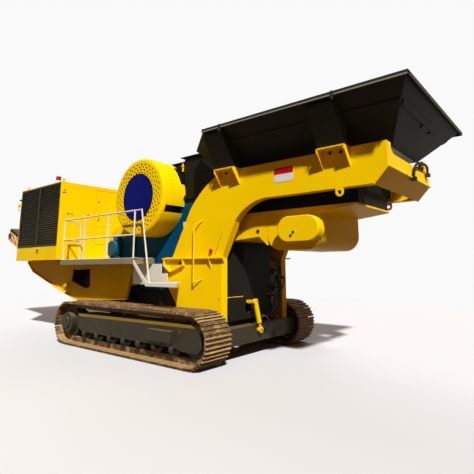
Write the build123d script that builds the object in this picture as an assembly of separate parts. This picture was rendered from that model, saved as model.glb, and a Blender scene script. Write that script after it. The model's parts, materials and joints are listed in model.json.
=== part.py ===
"""Tracked mobile jaw crusher: crawler undercarriage, goose-neck frame, hopper and feeder,
crusher with guarded flywheels, power pack with a service door, walkways and main conveyor.

X runs along the machine with the feed hopper at +X, Y across it, Z up from the ground.
Everything is laid out from the middle of the tracks, and moved at the end so that the
origin lies under the middle of the whole machine. "Near" is the -Y side.
"""
from build123d import *
from math import atan2, cos, degrees, pi, radians, sin, sqrt
import os

os.makedirs("parts", exist_ok=True)

# Fits between pieces
seat_gap = 0.3
pin_clearance = 0.05
door_clearance = 6
weld_overlap = 1
cut_margin = 1

# Crawler tracks
track_centre_y = 1350
track_length = 4680
track_height = 885
shoe_width = 600
shoe_pitch_target = 203
shoe_thickness = 16
shoe_slot = 14
shoe_sink = 2
grouser_height = 30
grouser_root = 26
grouser_tip = 12
grouser_spread = 0.36
link_height = 100
link_rail_width = 62
link_rail_offset = 72
roller_count = 7
roller_radius = 105
roller_sides = 24
roller_shaft_radius = 32
roller_first_x = -1260
roller_last_x = 1420
idler_shaft_radius = 70
idler_dish_share = 0.72
sprocket_teeth = 19
sprocket_tooth_height = 46
sprocket_root_depth = 5
sprocket_side_clearance = 6
final_drive_radius = 205
final_drive_reach = 30
final_drive_cap_radius = 120
final_drive_cap_reach = 62
track_frame_half_width = 210
track_frame_plate = 22
track_frame_bottom_z = 372
track_frame_skirt_z = 300
track_frame_skirt_drop = 40
track_frame_rear_x = -1500
track_frame_front_x = 2130
track_frame_nose = 420
track_frame_rear_top_z = 645
track_frame_front_top_z = 688
roller_lug_half = 60
roller_lug_wall = 18
wheel_clearance = 12
track_step_x = (900, 1490)
track_step_z = (380, 560)

# Chassis
frame_half_width = 1000
web_plate = 20
flange_plate = 20
chassis_top_z = 1780
chassis_flange_width = 42
chassis_rear_x = -5330
chassis_front_x = -360
chassis_nose_drop = 60
chassis_belly = ((-4950, 1480), (-3450, 1050), (-2650, 840), (-610, 930))
chassis_window = ((-2890, 1560), (-2100, 1580), (-2070, 1150), (-2280, 1110), (-2920, 1270))
chassis_window_round = 45
cross_beam_depth = 240
cross_beam_width = 260
cross_beam_stations = (-3900, -2700)
crusher_foot_inset = 20
crusher_beam_width = 190
deck_plate = 10
deck_inset = 10

# Goose-neck
goose_top_z = 3270
goose_arm_depth = 570
goose_chamfer = (190, 210)
goose_front_x = 4980
goose_flange_width = 150
neck_back_low_x = 770
neck_back_bend = (1230, 630)
neck_back_arc = (1490, 335)
neck_back_high = (1850, 80)
neck_top_x = 2010
neck_throat_low = (2340, 340)
neck_throat_arc = (2640, 90)
neck_throat_high_x = 3080
leg_front_x = 2040
leg_rear_x = 540
leg_foot_rear_x = 920
leg_knee_z = 1390
leg_foot_z = 890
leg_splice_drop = 30
leg_shelf_reach = 70
leg_shelf_front = 80
leg_shelf_plate = 25
leg_shelf_drop = 15
leg_gusset_x = 1790
leg_gusset_height = 190
leg_gusset_length = 75
leg_pocket_x = (580, 1130)
leg_pocket_height = 240
leg_pocket_low_share = 0.35
gusset_plate = 16
grab_rail_x = 1440
grab_rail_z = (1330, 2340)
grab_rail_reach = 90
grab_rail_radius = 13
tube_sides = 12
grab_rail_splay = 130
arm_ring_x = 4290
arm_ring_radius = 62
arm_ring_hole = 30
end_beam_plate = 24
end_beam_dip = ((-830, 85), (-735, 145))
end_beam_lip = 20
end_beam_lip_reach = 26
end_beam_hook_y = (-330, -270)
end_beam_hook_reach = 45

# Seats on the arms, and struts up to the hopper
support_pairs = ((2020, 2440), (4045, 4465))
support_bottom_z = 2985
support_rise_above_arm = 10
support_reach = 180
support_margin = 12
support_plate = 20
support_lip = 70
strut_wall = 15
strut_reach = (30, 150)
strut_head_drop = 20
strut_head_depth = 60
strut_head_reach = 70
strut_join_drop = 330
strut_bend_rise = 20

# Undercarriage beams
under_beam_x = 1080
under_beam_width = 340
under_beam_bottom_z = 300
under_beam_top_z = 560
beam_post_width = 120
beam_post_length = 300
beam_post_top_z = 1300
front_box_x = (1890, 2120)
front_box_z = (265, 555)

# Hopper
hopper_lift = 10
hopper_height = 645
hopper_rim_half_width = 1500
hopper_rim_front_x = 5470
hopper_rim_rear_x = 2040
hopper_bottom_half_width = 600
hopper_bottom_front_x = 4950
hopper_bottom_rear_x = 1750
hopper_wall = 15
rim_bar_width = 30
rim_bar_height = 62
rim_plate = 12
hopper_rib_drop = 215
hopper_rib_height = 55
hopper_rib_reach = 32

# Feeder
pan_depth = 760
pan_floor_depth = 640
pan_floor_rise = 120
pan_wall = 20
pan_rear_x = 1180
pan_taper_x = 1600
pan_front_x = 4400
mount_stations = (2700, 4250)
mount_length = 180
mount_height = 140
mount_rise = 90
underframe_half_width = 700
underframe_rear_x = 1640
underframe_bend = ((2020, 0), (2630, 45), (2800, -105))
underframe_depth = 465
underframe_nose_depth = 30
exciter_rear_x = 2810
exciter_front_x = 3820
exciter_drop = 100
exciter_height = 560
exciter_half_width = 700
exciter_corner = 260
exciter_wall = 60
cover_centre_x = 3505
cover_centre_drop = 345
cover_length = 750
cover_height = 410
cover_reach = 200
cover_flange_plate = 30
chute_front_x = 2000
chute_fold_x = 1800
chute_side_gap = 50
chute_fold_inset = 650
chute_far_inset = 490
chute_bottom_z = 1060
apron_plate = 30
apron_height = 400
apron_notch_radius = 95
apron_notch_y = -215

# Jaw crusher
shaft_x = 93
shaft_z = 2989
shaft_radius = 110
cheek_outer_y = 800
cheek_plate = 60
crusher_top_z = 2950
crusher_lip_drop = 50
crusher_wall = 110
crusher_rear_x = -1150
crusher_rear_wall = 200
crusher_rear_top_z = 2250
crusher_front_x = 1300
crusher_bottom_z = 1150
crusher_belly_x = (-550, 750)
crusher_foot_length = (350, 450)
crusher_front_chamfer = (130, 450)
bearing_hump = 290
bearing_shoulder = (0.7, 0.75)
bearing_slope = (60, 120)
cheek_rib_plate = 30
cheek_rib_reach = 45
cheek_ribs = (-700, 780)
jaw_side_clearance = 25
jaw_plate = 90
jaw_head = (200, 120)
jaw_shoulder = (330, 190)
jaw_toe = ((890, 1400), (700, 1330))
jaw_back = ((43, 1850), (-137, 2600))
guard_radius = 788
guard_face_y = 1350
guard_wall = 12
guard_edge_round = 60
guard_edge_facets = 3
guard_disc_share = 0.59
guard_disc_plate = 12
guard_slot_x = (640, 900)
guard_slot_z = (2640, 2770)
guard_slot_depth = 470
guard_notch_angles = (17, 50)
guard_notch_depth = 95
flywheel_radius = 690
flywheel_width = 300
flywheel_rim_share = 0.8
flywheel_dish = 90
flywheel_clearance = 60
throat_rear_x = 840
throat_front_x = 1740
throat_height = 830
throat_wall = 15
throat_flange = 60
throat_band_height = 45
throat_band_reach = 40
throat_guard_gap = 12

# Drive beside the crusher
motor_x = -1385
motor_radius = 205
motor_lift = 225
motor_side_inset = 55
motor_length = 320
motor_cowl_length = 90
motor_cowl_shrink = 30
motor_foot_half = 170
motor_foot_plate = 50
motor_fin_count = 14
motor_fin_height = 14
motor_fin_plate = 9
drive_cover_x = -1560
drive_cover_radius = 400
drive_cover_rise = 350
drive_cover_width = 300

# Power pack
pack_rear_x = -5080
pack_front_x = -2890
pack_half_width = 1450
pack_base_height = 320
pack_base_beam = 220
pack_height = 1600
pack_wall = 40
pack_eye_radius = 58
pack_eye_hole = 28
pack_eye_plate = 20
pack_eye_inset = 120
grille_margin = 15
grille_sill = 10
grille_head = 15
grille_depth = 60
grille_frame = 45
grille_back_plate = 6
blade_pitch = 57
blade_plate = 8
blade_rise = 44
blade_inset = 5
door_width = 950
door_sill = 90
door_height = 1410
door_plate = 30
door_stop = 35
bay_depth = 350
hinge_offset = 20
hinge_radius = 14
hinge_pin_radius = 7
hinge_knuckle = 60
hinge_knuckle_gap = 1
hinge_shares = (0.15, 0.8)
hinge_edge = 10
hinge_arm_lap = 2
leaf_plate = 12
leaf_length = 95
handle_inset = 70
handle_width = 30
handle_height = 160
handle_reach = 38
handle_foot = 40
handle_grip = 16
handle_rise = 670
beacon_inset = (360, 100)
beacon_base_radius = 70
beacon_base_height = 70
beacon_lens_radius = 62
beacon_lens_height = 110
beacon_sides = 24

# Walkways, rails and steps
walkway_outer_y = 1550
walkway_rear_x = -2470
walkway_front_x = 290
walkway_drop = 10
walkway_depth = 110
walkway_edge = 12
walkway_floor = 40
rail_radius = 17
rail_height = 910
rail_mid_height = 445
rail_inset = 5
rail_post_inset = (70, 30)
rail_post_count = 4
rail_hoop_y = 1130
rail_hoop_corner = 200
rail_hoop_bends = 4
rail_bend_x = 470
rail_foot_radius = 30
rail_foot_height = 10
rail_foot_rise = 6
step_drop = 450
step_rear_x = 730
step_front_x = 1530
step_front_skew = 480
step_depth = 60
step_back_plate = 16
step_back_x = (-330, 555)
step_back_arm_height = 220
step_stringer = 40

# Main conveyor
belt_half_width = 450
belt_thickness = 15
drum_radius = 110
belt_line_depth = 120
stringer_depth = 300
stringer_plate = 20
conveyor_half_width = 600
conveyor_tail_x = 1600
conveyor_head_x = -7790
conveyor_bend_x = -2740
conveyor_slope = 0.377
conveyor_end = 130
conveyor_ties = (-6300, -4400, -1400, 300)
conveyor_tie_radius = 22
conveyor_tie_rise = 25
skirt_board_x = (-900, 1280)
skirt_board_top_z = 1190
carry_roller_radius = 45
carry_roller_spacing = 1150
carry_roller_sides = 16
drum_sides = 32
drum_shaft_radius = 35
roller_pin_radius = 15
hanger_x = -4850
hanger_length = 180
hanger_height = 120
hood_x = (-7900, -5700)
hood_skirt = 90
hood_plate = 10

# Cylinder at the front of the undercarriage
cylinder_x = 2190
cylinder_top = (-250, 970)
cylinder_gland = (-140, 600)
cylinder_foot = (-100, 470)
cylinder_radius = 45
cylinder_rod_radius = 22
cylinder_eye_radius = 55
cylinder_eye_width = 44


def box(x_range, y_range, z_range):
    """Box between two values on each axis."""
    sizes = [high - low for low, high in (x_range, y_range, z_range)]
    middle = [(low + high) / 2 for low, high in (x_range, y_range, z_range)]
    return Pos(*middle) * Box(*sizes)


def around(centre, size):
    """Range of a size about its middle."""
    return centre - size / 2, centre + size / 2


def profile_xz(points, y_low, y_high):
    """Outline in the XZ plane, extruded from y_low to y_high."""
    wire = Wire.make_polygon([(x, y_low, z) for x, z in points], close=True)
    return extrude(Face(wire), amount=y_high - y_low, dir=(0, 1, 0))


def profile_yz(points, x_low, x_high):
    """Outline in the YZ plane, extruded from x_low to x_high."""
    wire = Wire.make_polygon([(x_low, y, z) for y, z in points], close=True)
    return extrude(Face(wire), amount=x_high - x_low, dir=(1, 0, 0))


def across(radius, x, z, y_low, y_high):
    """Round bar that lies across the machine."""
    return Pos(x, (y_low + y_high) / 2, z) * Rot(90, 0, 0) * Cylinder(radius, y_high - y_low)


def upright(radius, x, y, z_low, z_high):
    return Pos(x, y, (z_low + z_high) / 2) * Cylinder(radius, z_high - z_low)


def along_x(radius, y, z, x_low, x_high):
    return Pos((x_low + x_high) / 2, y, z) * Rot(0, 90, 0) * Cylinder(radius, x_high - x_low)


def many_sided(radius, sides, x, z, y_low, y_high, tilt=0):
    """Roller of many flat sides that lies across the machine, a side on top and one below."""
    section = RegularPolygon(radius, sides, major_radius=False, rotation=180 / sides)
    bar = extrude(section, amount=(y_high - y_low) / 2, both=True)
    return Pos(x, (y_low + y_high) / 2, z) * Rot(0, tilt, 0) * Rot(90, 0, 0) * bar


def rod(start, end, radius):
    """Round bar from one point to another."""
    start, end = Vector(*start), Vector(*end)
    plane = Plane(origin=start, z_dir=end - start)
    return extrude(plane * Circle(radius), amount=(end - start).length)


def tube_path(points, radius):
    """Many-sided tube along straight runs, mitred at its bends."""
    start = Vector(*points[0])
    section = Plane(origin=start, z_dir=Vector(*points[1]) - start) * RegularPolygon(radius, tube_sides)
    return sweep(section, path=Polyline(*points), transition=Transition.RIGHT)


def group(pieces):
    """Separate solids that share one node."""
    return Compound([solid for piece in pieces for solid in piece.solids()])


def far(part):
    """The same piece on the +Y side."""
    return mirror(part, about=Plane.XZ)


def both_sides(pieces):
    """One node for like pieces on both sides."""
    return group([piece for near in pieces for piece in (near, far(near))])


def on_line(x, start, end):
    """Height at x on the line between two (x, z) points."""
    return start[1] + (end[1] - start[1]) * (x - start[0]) / (end[0] - start[0])


nodes = {}


# Track chain
end_radius = track_height / 2
end_x = track_length / 2 - end_radius
shoe_face = end_radius - grouser_height
link_outer = shoe_face - shoe_thickness
link_inner = link_outer - link_height
chain_path = 4 * end_x + 2 * pi * link_outer
shoe_count = round(chain_path / shoe_pitch_target)
shoe_pitch = chain_path / shoe_count
# Share of a shoe that the link pins are moved by, so that no shoe lies almost flat past the ground run
pin_phase = 0 if 0.25 < (end_x / shoe_pitch) % 1 < 0.75 else 0.5


def loop_station(distance, radius):
    """Point on a loop about the wheels, from the middle of the ground run."""
    turn = pi * link_outer
    distance = distance % chain_path
    if distance <= end_x:
        return distance, end_radius - radius
    distance -= end_x
    if distance <= turn:
        angle = distance / link_outer
        return end_x + radius * sin(angle), end_radius - radius * cos(angle)
    distance -= turn
    if distance <= 2 * end_x:
        return end_x - distance, end_radius + radius
    distance -= 2 * end_x
    if distance <= turn:
        angle = pi + distance / link_outer
        return -end_x + radius * sin(angle), end_radius - radius * cos(angle)
    return -end_x + distance - turn, end_radius - radius


def shoe_outline():
    """Shoe in its own plane: along the track, and outward from the links."""
    half = (shoe_pitch - shoe_slot) / 2
    outline = [(-half, -shoe_sink), (-half, shoe_thickness)]
    for centre in (-grouser_spread * shoe_pitch, 0, grouser_spread * shoe_pitch):
        outline += [(centre - grouser_root / 2, shoe_thickness)]
        outline += [(centre - grouser_tip / 2, shoe_thickness + grouser_height)]
        outline += [(centre + grouser_tip / 2, shoe_thickness + grouser_height)]
        outline += [(centre + grouser_root / 2, shoe_thickness)]
    return outline + [(half, shoe_thickness), (half, -shoe_sink)]


def shoe(index, y_low, y_high):
    """Shoe that spans from one link pin to the next."""
    rear_x, rear_z = loop_station((index + pin_phase) * shoe_pitch, link_outer)
    front_x, front_z = loop_station((index + 1 + pin_phase) * shoe_pitch, link_outer)
    x, z = (rear_x + front_x) / 2, (rear_z + front_z) / 2
    angle = atan2(front_z - rear_z, front_x - rear_x)
    along = (cos(angle), sin(angle))
    outward = (sin(angle), -cos(angle))
    points = [
        (x + u * along[0] + w * outward[0], z + u * along[1] + w * outward[1])
        for u, w in shoe_outline()
    ]
    return profile_xz(points, y_low, y_high)


def link_loop(radius):
    """Corners of the straight links, one at every pin."""
    return [loop_station((index + pin_phase) * shoe_pitch, radius) for index in range(shoe_count)]


def track_chain():
    """Two rails of straight links with a triple-grouser shoe on every pair."""
    rails = []
    for side in (-1, 1):
        y_low, y_high = around(-track_centre_y + side * link_rail_offset, link_rail_width)
        hollow = profile_xz(link_loop(link_inner), y_low - cut_margin, y_high + cut_margin)
        rails.append(profile_xz(link_loop(link_outer), y_low, y_high) - hollow)
    outer, inner = around(-track_centre_y, shoe_width)
    shoes = [shoe(index, outer, inner) for index in range(shoe_count)]
    return rails[0].fuse(rails[1], *shoes)


nodes["track_chain_near"] = track_chain()
nodes["track_chain_far"] = far(nodes["track_chain_near"])

# Wheels of the track
tread_half = link_rail_offset + link_rail_width / 2
wheel_radius = link_inner * cos(shoe_pitch / 2 / link_outer) - seat_gap
gap_between_rails = link_rail_offset - link_rail_width / 2
track_frame_outer_y = track_centre_y + track_frame_half_width
track_frame_inner_y = track_centre_y - track_frame_half_width
outer_plate_inside = track_frame_outer_y - track_frame_plate
inner_plate_inside = track_frame_inner_y + track_frame_plate


def drive_sprocket():
    """Toothed wheel between the link rails, with its final drive cap on the outside."""
    outer_face, inner_face = around(-track_centre_y, 2 * tread_half)
    rim = across(wheel_radius, -end_x, end_radius, outer_face, inner_face)
    tip = wheel_radius + sprocket_tooth_height
    root = wheel_radius - sprocket_root_depth
    step = 2 * pi / sprocket_teeth
    points = []
    for index in range(sprocket_teeth):
        for share, radius in ((0.0, root), (0.3, root), (0.45, tip), (0.85, tip)):
            angle = (index + share) * step
            points.append((-end_x + radius * cos(angle), end_radius + radius * sin(angle)))
    teeth = profile_xz(points, *around(-track_centre_y, 2 * (gap_between_rails - sprocket_side_clearance)))
    drive = across(final_drive_radius, -end_x, end_radius, -track_frame_outer_y - final_drive_reach, outer_face)
    cap = across(final_drive_cap_radius, -end_x, end_radius,
                 -track_frame_outer_y - final_drive_cap_reach, outer_face)
    motor = across(final_drive_radius, -end_x, end_radius, inner_face, -track_frame_inner_y)
    return rim + teeth + drive + cap + motor


def track_idler():
    """Dished front wheel on the link rails, with stub shafts in the frame's fork."""
    wheel = across(wheel_radius, end_x, end_radius, *around(-track_centre_y, 2 * tread_half))
    for side in (-1, 1):
        face = -track_centre_y + side * tread_half
        low, high = sorted((face, face - side * tread_half / 2))
        wheel -= across(wheel_radius * idler_dish_share, end_x, end_radius, low, high)
    return wheel + across(idler_shaft_radius, end_x, end_radius, -outer_plate_inside, -inner_plate_inside)


roller_z = end_radius - link_inner + seat_gap + roller_radius
roller_step = (roller_last_x - roller_first_x) / (roller_count - 1)
roller_stations = [roller_first_x + index * roller_step for index in range(roller_count)]


def track_roller(x):
    body = many_sided(roller_radius, roller_sides, x, roller_z, *around(-track_centre_y, 2 * tread_half))
    shaft_y = (-outer_plate_inside, -inner_plate_inside)
    return body + many_sided(roller_shaft_radius, roller_sides // 2, x, roller_z, *shaft_y)


nodes["drive_sprockets"] = both_sides([drive_sprocket()])
nodes["track_idlers"] = both_sides([track_idler()])
nodes["track_rollers"] = both_sides([track_roller(x) for x in roller_stations])


def track_frame_plate_outline():
    """Side plate with a nose round the idler and a lug at every roller."""
    skirt_z = track_frame_skirt_z
    points = [
        (track_frame_rear_x, skirt_z + 2 * track_frame_skirt_drop),
        (track_frame_rear_x, track_frame_rear_top_z),
        (track_frame_front_x, track_frame_front_top_z),
        (track_frame_front_x, skirt_z + track_frame_skirt_drop),
        (track_frame_front_x - 2 * track_frame_skirt_drop, skirt_z - track_frame_skirt_drop),
        (track_frame_front_x - track_frame_nose, skirt_z - track_frame_skirt_drop),
    ]
    lug_bottom_z = roller_z - roller_shaft_radius - roller_lug_wall
    lug_tip = roller_lug_half * 0.6
    for x in reversed(roller_stations):
        points += [(x + roller_lug_half, skirt_z), (x + lug_tip, lug_bottom_z)]
        points += [(x - lug_tip, lug_bottom_z), (x - roller_lug_half, skirt_z)]
    return points


def track_frame():
    """Box between two side plates, with a foot step bolted to the outside."""
    rear_top = (track_frame_rear_x, track_frame_rear_top_z)
    front_top = (track_frame_front_x, track_frame_front_top_z)
    reach = wheel_radius + sprocket_tooth_height + wheel_clearance
    core_rear, core_front = -end_x + reach, end_x - reach
    core = profile_xz(
        [
            (core_rear, track_frame_bottom_z),
            (core_rear, on_line(core_rear, rear_top, front_top)),
            (core_front, on_line(core_front, rear_top, front_top)),
            (core_front, track_frame_bottom_z),
        ],
        -outer_plate_inside, -inner_plate_inside,
    )
    outline = track_frame_plate_outline()
    outer = profile_xz(outline, -track_frame_outer_y, -outer_plate_inside)
    inner = profile_xz(outline, -inner_plate_inside, -track_frame_inner_y)
    clear = across(final_drive_radius + wheel_clearance, -end_x, end_radius,
                   -track_frame_outer_y, -track_frame_inner_y)
    step = box(track_step_x, (-track_centre_y - shoe_width / 2, -track_frame_outer_y), track_step_z)
    return core + outer + inner + step - clear


nodes["track_frame_near"] = track_frame()
nodes["track_frame_far"] = far(nodes["track_frame_near"])

# Undercarriage beams
chassis_inside = frame_half_width - web_plate


def undercarriage_beam(x):
    return box(around(x, under_beam_width), (-track_frame_inner_y, track_frame_inner_y),
               (under_beam_bottom_z, under_beam_top_z))


def undercarriage_beams():
    """Cross beams, the rear one with uprights that hold the chassis sides from inside."""
    rear = undercarriage_beam(-under_beam_x)
    for low in (-chassis_inside, chassis_inside - beam_post_width):
        rear += box(around(-under_beam_x, beam_post_length), (low, low + beam_post_width),
                    (under_beam_top_z - weld_overlap, beam_post_top_z))
    front_box = box(front_box_x, (-track_frame_inner_y, track_frame_inner_y), front_box_z)
    return group([rear, undercarriage_beam(under_beam_x), front_box])


nodes["undercarriage_beams"] = undercarriage_beams()


# Chassis side plates
def chassis_side():
    """Deep plate with a window, flanged along its whole edge."""
    points = [(chassis_rear_x, chassis_top_z)]
    points += [(chassis_rear_x + chassis_nose_drop / 2, chassis_top_z - chassis_nose_drop)]
    points += [*chassis_belly, (chassis_front_x, chassis_top_z)]
    face = Face(Wire.make_polygon([(x, -frame_half_width, z) for x, z in points], close=True))
    plate = extrude(face, amount=web_plate, dir=(0, 1, 0))
    outer_face = Pos(0, -chassis_flange_width, 0) * face
    flange = extrude(outer_face, amount=chassis_flange_width + web_plate, dir=(0, 1, 0))
    inside = offset(outer_face, amount=-flange_plate)
    cut_depth = chassis_flange_width + web_plate + 2 * cut_margin
    flange -= Pos(0, -cut_margin, 0) * extrude(inside, amount=cut_depth, dir=(0, 1, 0))
    corners = [(x, -frame_half_width - cut_margin, z) for x, z in chassis_window]
    window = Face(Wire.make_polygon(corners, close=True))
    window = fillet(window.vertices(), chassis_window_round)
    return plate + flange - extrude(window, amount=web_plate + 2 * cut_margin, dir=(0, 1, 0))


nodes["chassis_side_near"] = chassis_side()
nodes["chassis_side_far"] = far(nodes["chassis_side_near"])


# Goose-neck side frames
goose_bottom_z = goose_top_z - goose_arm_depth
goose_front_bottom_x = goose_front_x - goose_chamfer[0]
goose_chamfer_z = goose_bottom_z + goose_chamfer[1]


def goose_outline():
    """Leg, curved neck and the long arm over the feeder, in the plane of the near plate."""
    def below(top_z, point):
        return point[0], top_z - point[1]

    back_low = (neck_back_low_x, chassis_top_z)
    back_bend = below(goose_top_z, neck_back_bend)
    back_high = below(goose_top_z, neck_back_high)
    throat_low = below(goose_bottom_z, neck_throat_low)
    throat_high = (neck_throat_high_x, goose_bottom_z)
    arm = [
        back_high,
        (neck_top_x, goose_top_z),
        (goose_front_x, goose_top_z),
        (goose_front_x, goose_chamfer_z),
        (goose_front_bottom_x, goose_bottom_z),
        throat_high,
    ]
    leg = [
        throat_low,
        (leg_front_x, chassis_top_z - leg_splice_drop),
        (leg_front_x, under_beam_top_z),
        (leg_foot_rear_x, under_beam_top_z),
        (leg_foot_rear_x, leg_foot_z),
        (leg_rear_x, leg_knee_z),
        (leg_rear_x, chassis_top_z),
        back_low,
        back_bend,
    ]
    edges = [Line(start, end) for points in (arm, leg) for start, end in zip(points, points[1:])]
    edges.append(ThreePointArc(back_bend, below(goose_top_z, neck_back_arc), back_high))
    edges.append(ThreePointArc(throat_high, below(goose_bottom_z, neck_throat_arc), throat_low))
    return Pos(0, -frame_half_width, 0) * Face(Wire(edges)).rotate(Axis.X, 90)


def support_seat(x_range):
    """Seat plate for a hopper strut on two tapering cheeks, open below and in front."""
    plate = -frame_half_width
    outer = plate - support_reach
    top_z = goose_top_z + support_rise_above_arm
    back_x, front_x = x_range[0] - support_margin, x_range[1] + support_margin
    cheek = [(plate, support_bottom_z), (plate, top_z), (outer, top_z), (outer, top_z - support_lip)]
    seat = box((back_x, front_x), (outer, plate + web_plate), (top_z - support_plate, top_z))
    seat += profile_yz(cheek, back_x, back_x + support_plate)
    return seat + profile_yz(cheek, front_x - support_plate, front_x)


def leg_gusset(x):
    """Triangular gusset under the shelf, its long side up the leg."""
    plate, top_z = -frame_half_width, chassis_top_z - leg_shelf_drop - leg_shelf_plate
    corners = [(plate, top_z), (plate - leg_gusset_length, top_z), (plate, top_z - leg_gusset_height)]
    return profile_yz(corners, *around(x, gusset_plate))


def leg_pocket():
    """Gusseted seat below the shelf, open in front."""
    plate, top_z = -frame_half_width, chassis_top_z - leg_shelf_drop - leg_shelf_plate
    low_x, high_x = leg_pocket_x
    low_point = (low_x + (high_x - low_x) * leg_pocket_low_share, top_z - leg_pocket_height)
    outline = [(low_x, top_z), (high_x, top_z), (high_x, top_z - leg_pocket_height / 2)]
    outline += [low_point, (low_x, top_z - leg_pocket_height / 2)]
    shell = profile_xz(outline, plate - leg_shelf_reach, plate)
    inside = [(x + (gusset_plate if x == low_x else -gusset_plate if x == high_x else 0),
               z + (gusset_plate if z < top_z else cut_margin)) for x, z in outline]
    return shell - profile_xz(inside, plate - leg_shelf_reach - cut_margin, plate)


def grab_rail():
    """Bent bar beside the ladder way, its lower end splayed."""
    plate = -frame_half_width
    outer = plate - grab_rail_reach
    low_z, high_z = grab_rail_z
    return tube_path(
        [
            (grab_rail_x + grab_rail_splay, plate + weld_overlap, high_z + grab_rail_reach),
            (grab_rail_x, outer, high_z),
            (grab_rail_x, outer, low_z),
            (grab_rail_x + grab_rail_splay, plate + weld_overlap, low_z + grab_rail_reach / 2),
        ],
        grab_rail_radius,
    )


def arm_ring():
    """Lifting eye below the arm."""
    y_range = (-frame_half_width, -frame_half_width + web_plate)
    centre_z = goose_bottom_z - arm_ring_radius
    ring = across(arm_ring_radius, arm_ring_x, centre_z, *y_range)
    ring += box(around(arm_ring_x, 2 * arm_ring_radius), y_range, (centre_z, goose_bottom_z + weld_overlap))
    return ring - across(arm_ring_hole, arm_ring_x, centre_z, y_range[0] - cut_margin, y_range[1] + cut_margin)


def gooseneck_side():
    """Side plate with a flange round its edge, a shelf at deck height, strut seats and a grab rail."""
    face = goose_outline()
    inside = offset(face, amount=-flange_plate)
    web = extrude(face, amount=web_plate, dir=(0, 1, 0))
    flange = extrude(face, amount=goose_flange_width, dir=(0, 1, 0))
    cut_depth = goose_flange_width + 2 * cut_margin
    flange -= Pos(0, -cut_margin, 0) * extrude(inside, amount=cut_depth, dir=(0, 1, 0))
    shelf_top_z = chassis_top_z - leg_shelf_drop
    shelf = box((leg_rear_x, leg_front_x + leg_shelf_front),
                (-frame_half_width - leg_shelf_reach, -frame_half_width),
                (shelf_top_z - leg_shelf_plate, shelf_top_z))
    pieces = [flange, shelf, grab_rail(), arm_ring(), leg_pocket(), leg_gusset(leg_gusset_x)]
    pieces += [support_seat(pair) for pair in support_pairs]
    return web.fuse(*pieces)


nodes["gooseneck_side_near"] = gooseneck_side()
nodes["gooseneck_side_far"] = far(nodes["gooseneck_side_near"])


def gooseneck_end_beam():
    """Folded plate across the front of both arms, its top edge dipping between them, with a lip and a hook."""
    fold = end_beam_plate / 3
    outer = [
        (goose_front_x, goose_top_z),
        (goose_front_x + end_beam_plate, goose_top_z),
        (goose_front_x + end_beam_plate, goose_chamfer_z - fold),
        (goose_front_bottom_x + end_beam_plate / 2, goose_bottom_z - end_beam_lip),
        (goose_front_bottom_x, goose_bottom_z),
        (goose_front_x, goose_chamfer_z),
    ]
    beam = profile_xz(outer, -frame_half_width, frame_half_width)
    dip = [(y, goose_top_z - depth) for y, depth in end_beam_dip]
    dip = [(dip[0][0], goose_top_z + cut_margin), *dip]
    dip += [(-y, z) for y, z in reversed(dip)]
    beam -= profile_yz(dip, goose_front_x - cut_margin, goose_front_x + end_beam_plate + cut_margin)
    lip_z = goose_chamfer_z - fold
    lip_x = (goose_front_x, goose_front_x + end_beam_plate + end_beam_lip_reach)
    beam += box(lip_x, (-frame_half_width, frame_half_width), (lip_z, lip_z + end_beam_lip))
    hook_x = (goose_front_x, goose_front_x + end_beam_plate + end_beam_hook_reach)
    return beam + box(hook_x, end_beam_hook_y, (lip_z, lip_z + 3 * end_beam_lip))


nodes["gooseneck_end_beam"] = gooseneck_end_beam()


def chassis_cross_members():
    """Beams between the chassis sides, and the deck plate in front of the power pack."""
    heights = (chassis_top_z - cross_beam_depth, chassis_top_z)
    inside = (-chassis_inside, chassis_inside)
    rear_foot_x = crusher_rear_x + cross_beam_width / 2 + crusher_foot_inset
    beams = [box(around(x, cross_beam_width), inside, heights) for x in (*cross_beam_stations, rear_foot_x)]
    front_beam = box((crusher_front_x - crusher_beam_width, crusher_front_x), inside, heights)
    deck = box((pack_front_x + deck_inset, crusher_rear_x - deck_inset), inside,
               (chassis_top_z - weld_overlap, chassis_top_z + deck_plate))
    return group([beams[0], beams[1] + deck, beams[2], front_beam])


nodes["chassis_cross_members"] = chassis_cross_members()

# Hopper
hopper_bottom_z = goose_top_z + hopper_lift
hopper_rim_z = hopper_bottom_z + hopper_height
side_run = hopper_rim_half_width - hopper_bottom_half_width
front_run = hopper_rim_front_x - hopper_bottom_front_x
side_wall_in = hopper_wall * sqrt(side_run**2 + hopper_height**2) / hopper_height
front_wall_in = hopper_wall * sqrt(front_run**2 + hopper_height**2) / hopper_height


def side_wall_y(z):
    """Outside face of the hopper's side wall, as a distance from the centre line."""
    return hopper_bottom_half_width + side_run * (z - hopper_bottom_z) / hopper_height


def front_wall_x(z):
    """Outside face of the hopper's front wall."""
    return hopper_bottom_front_x + front_run * (z - hopper_bottom_z) / hopper_height


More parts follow.
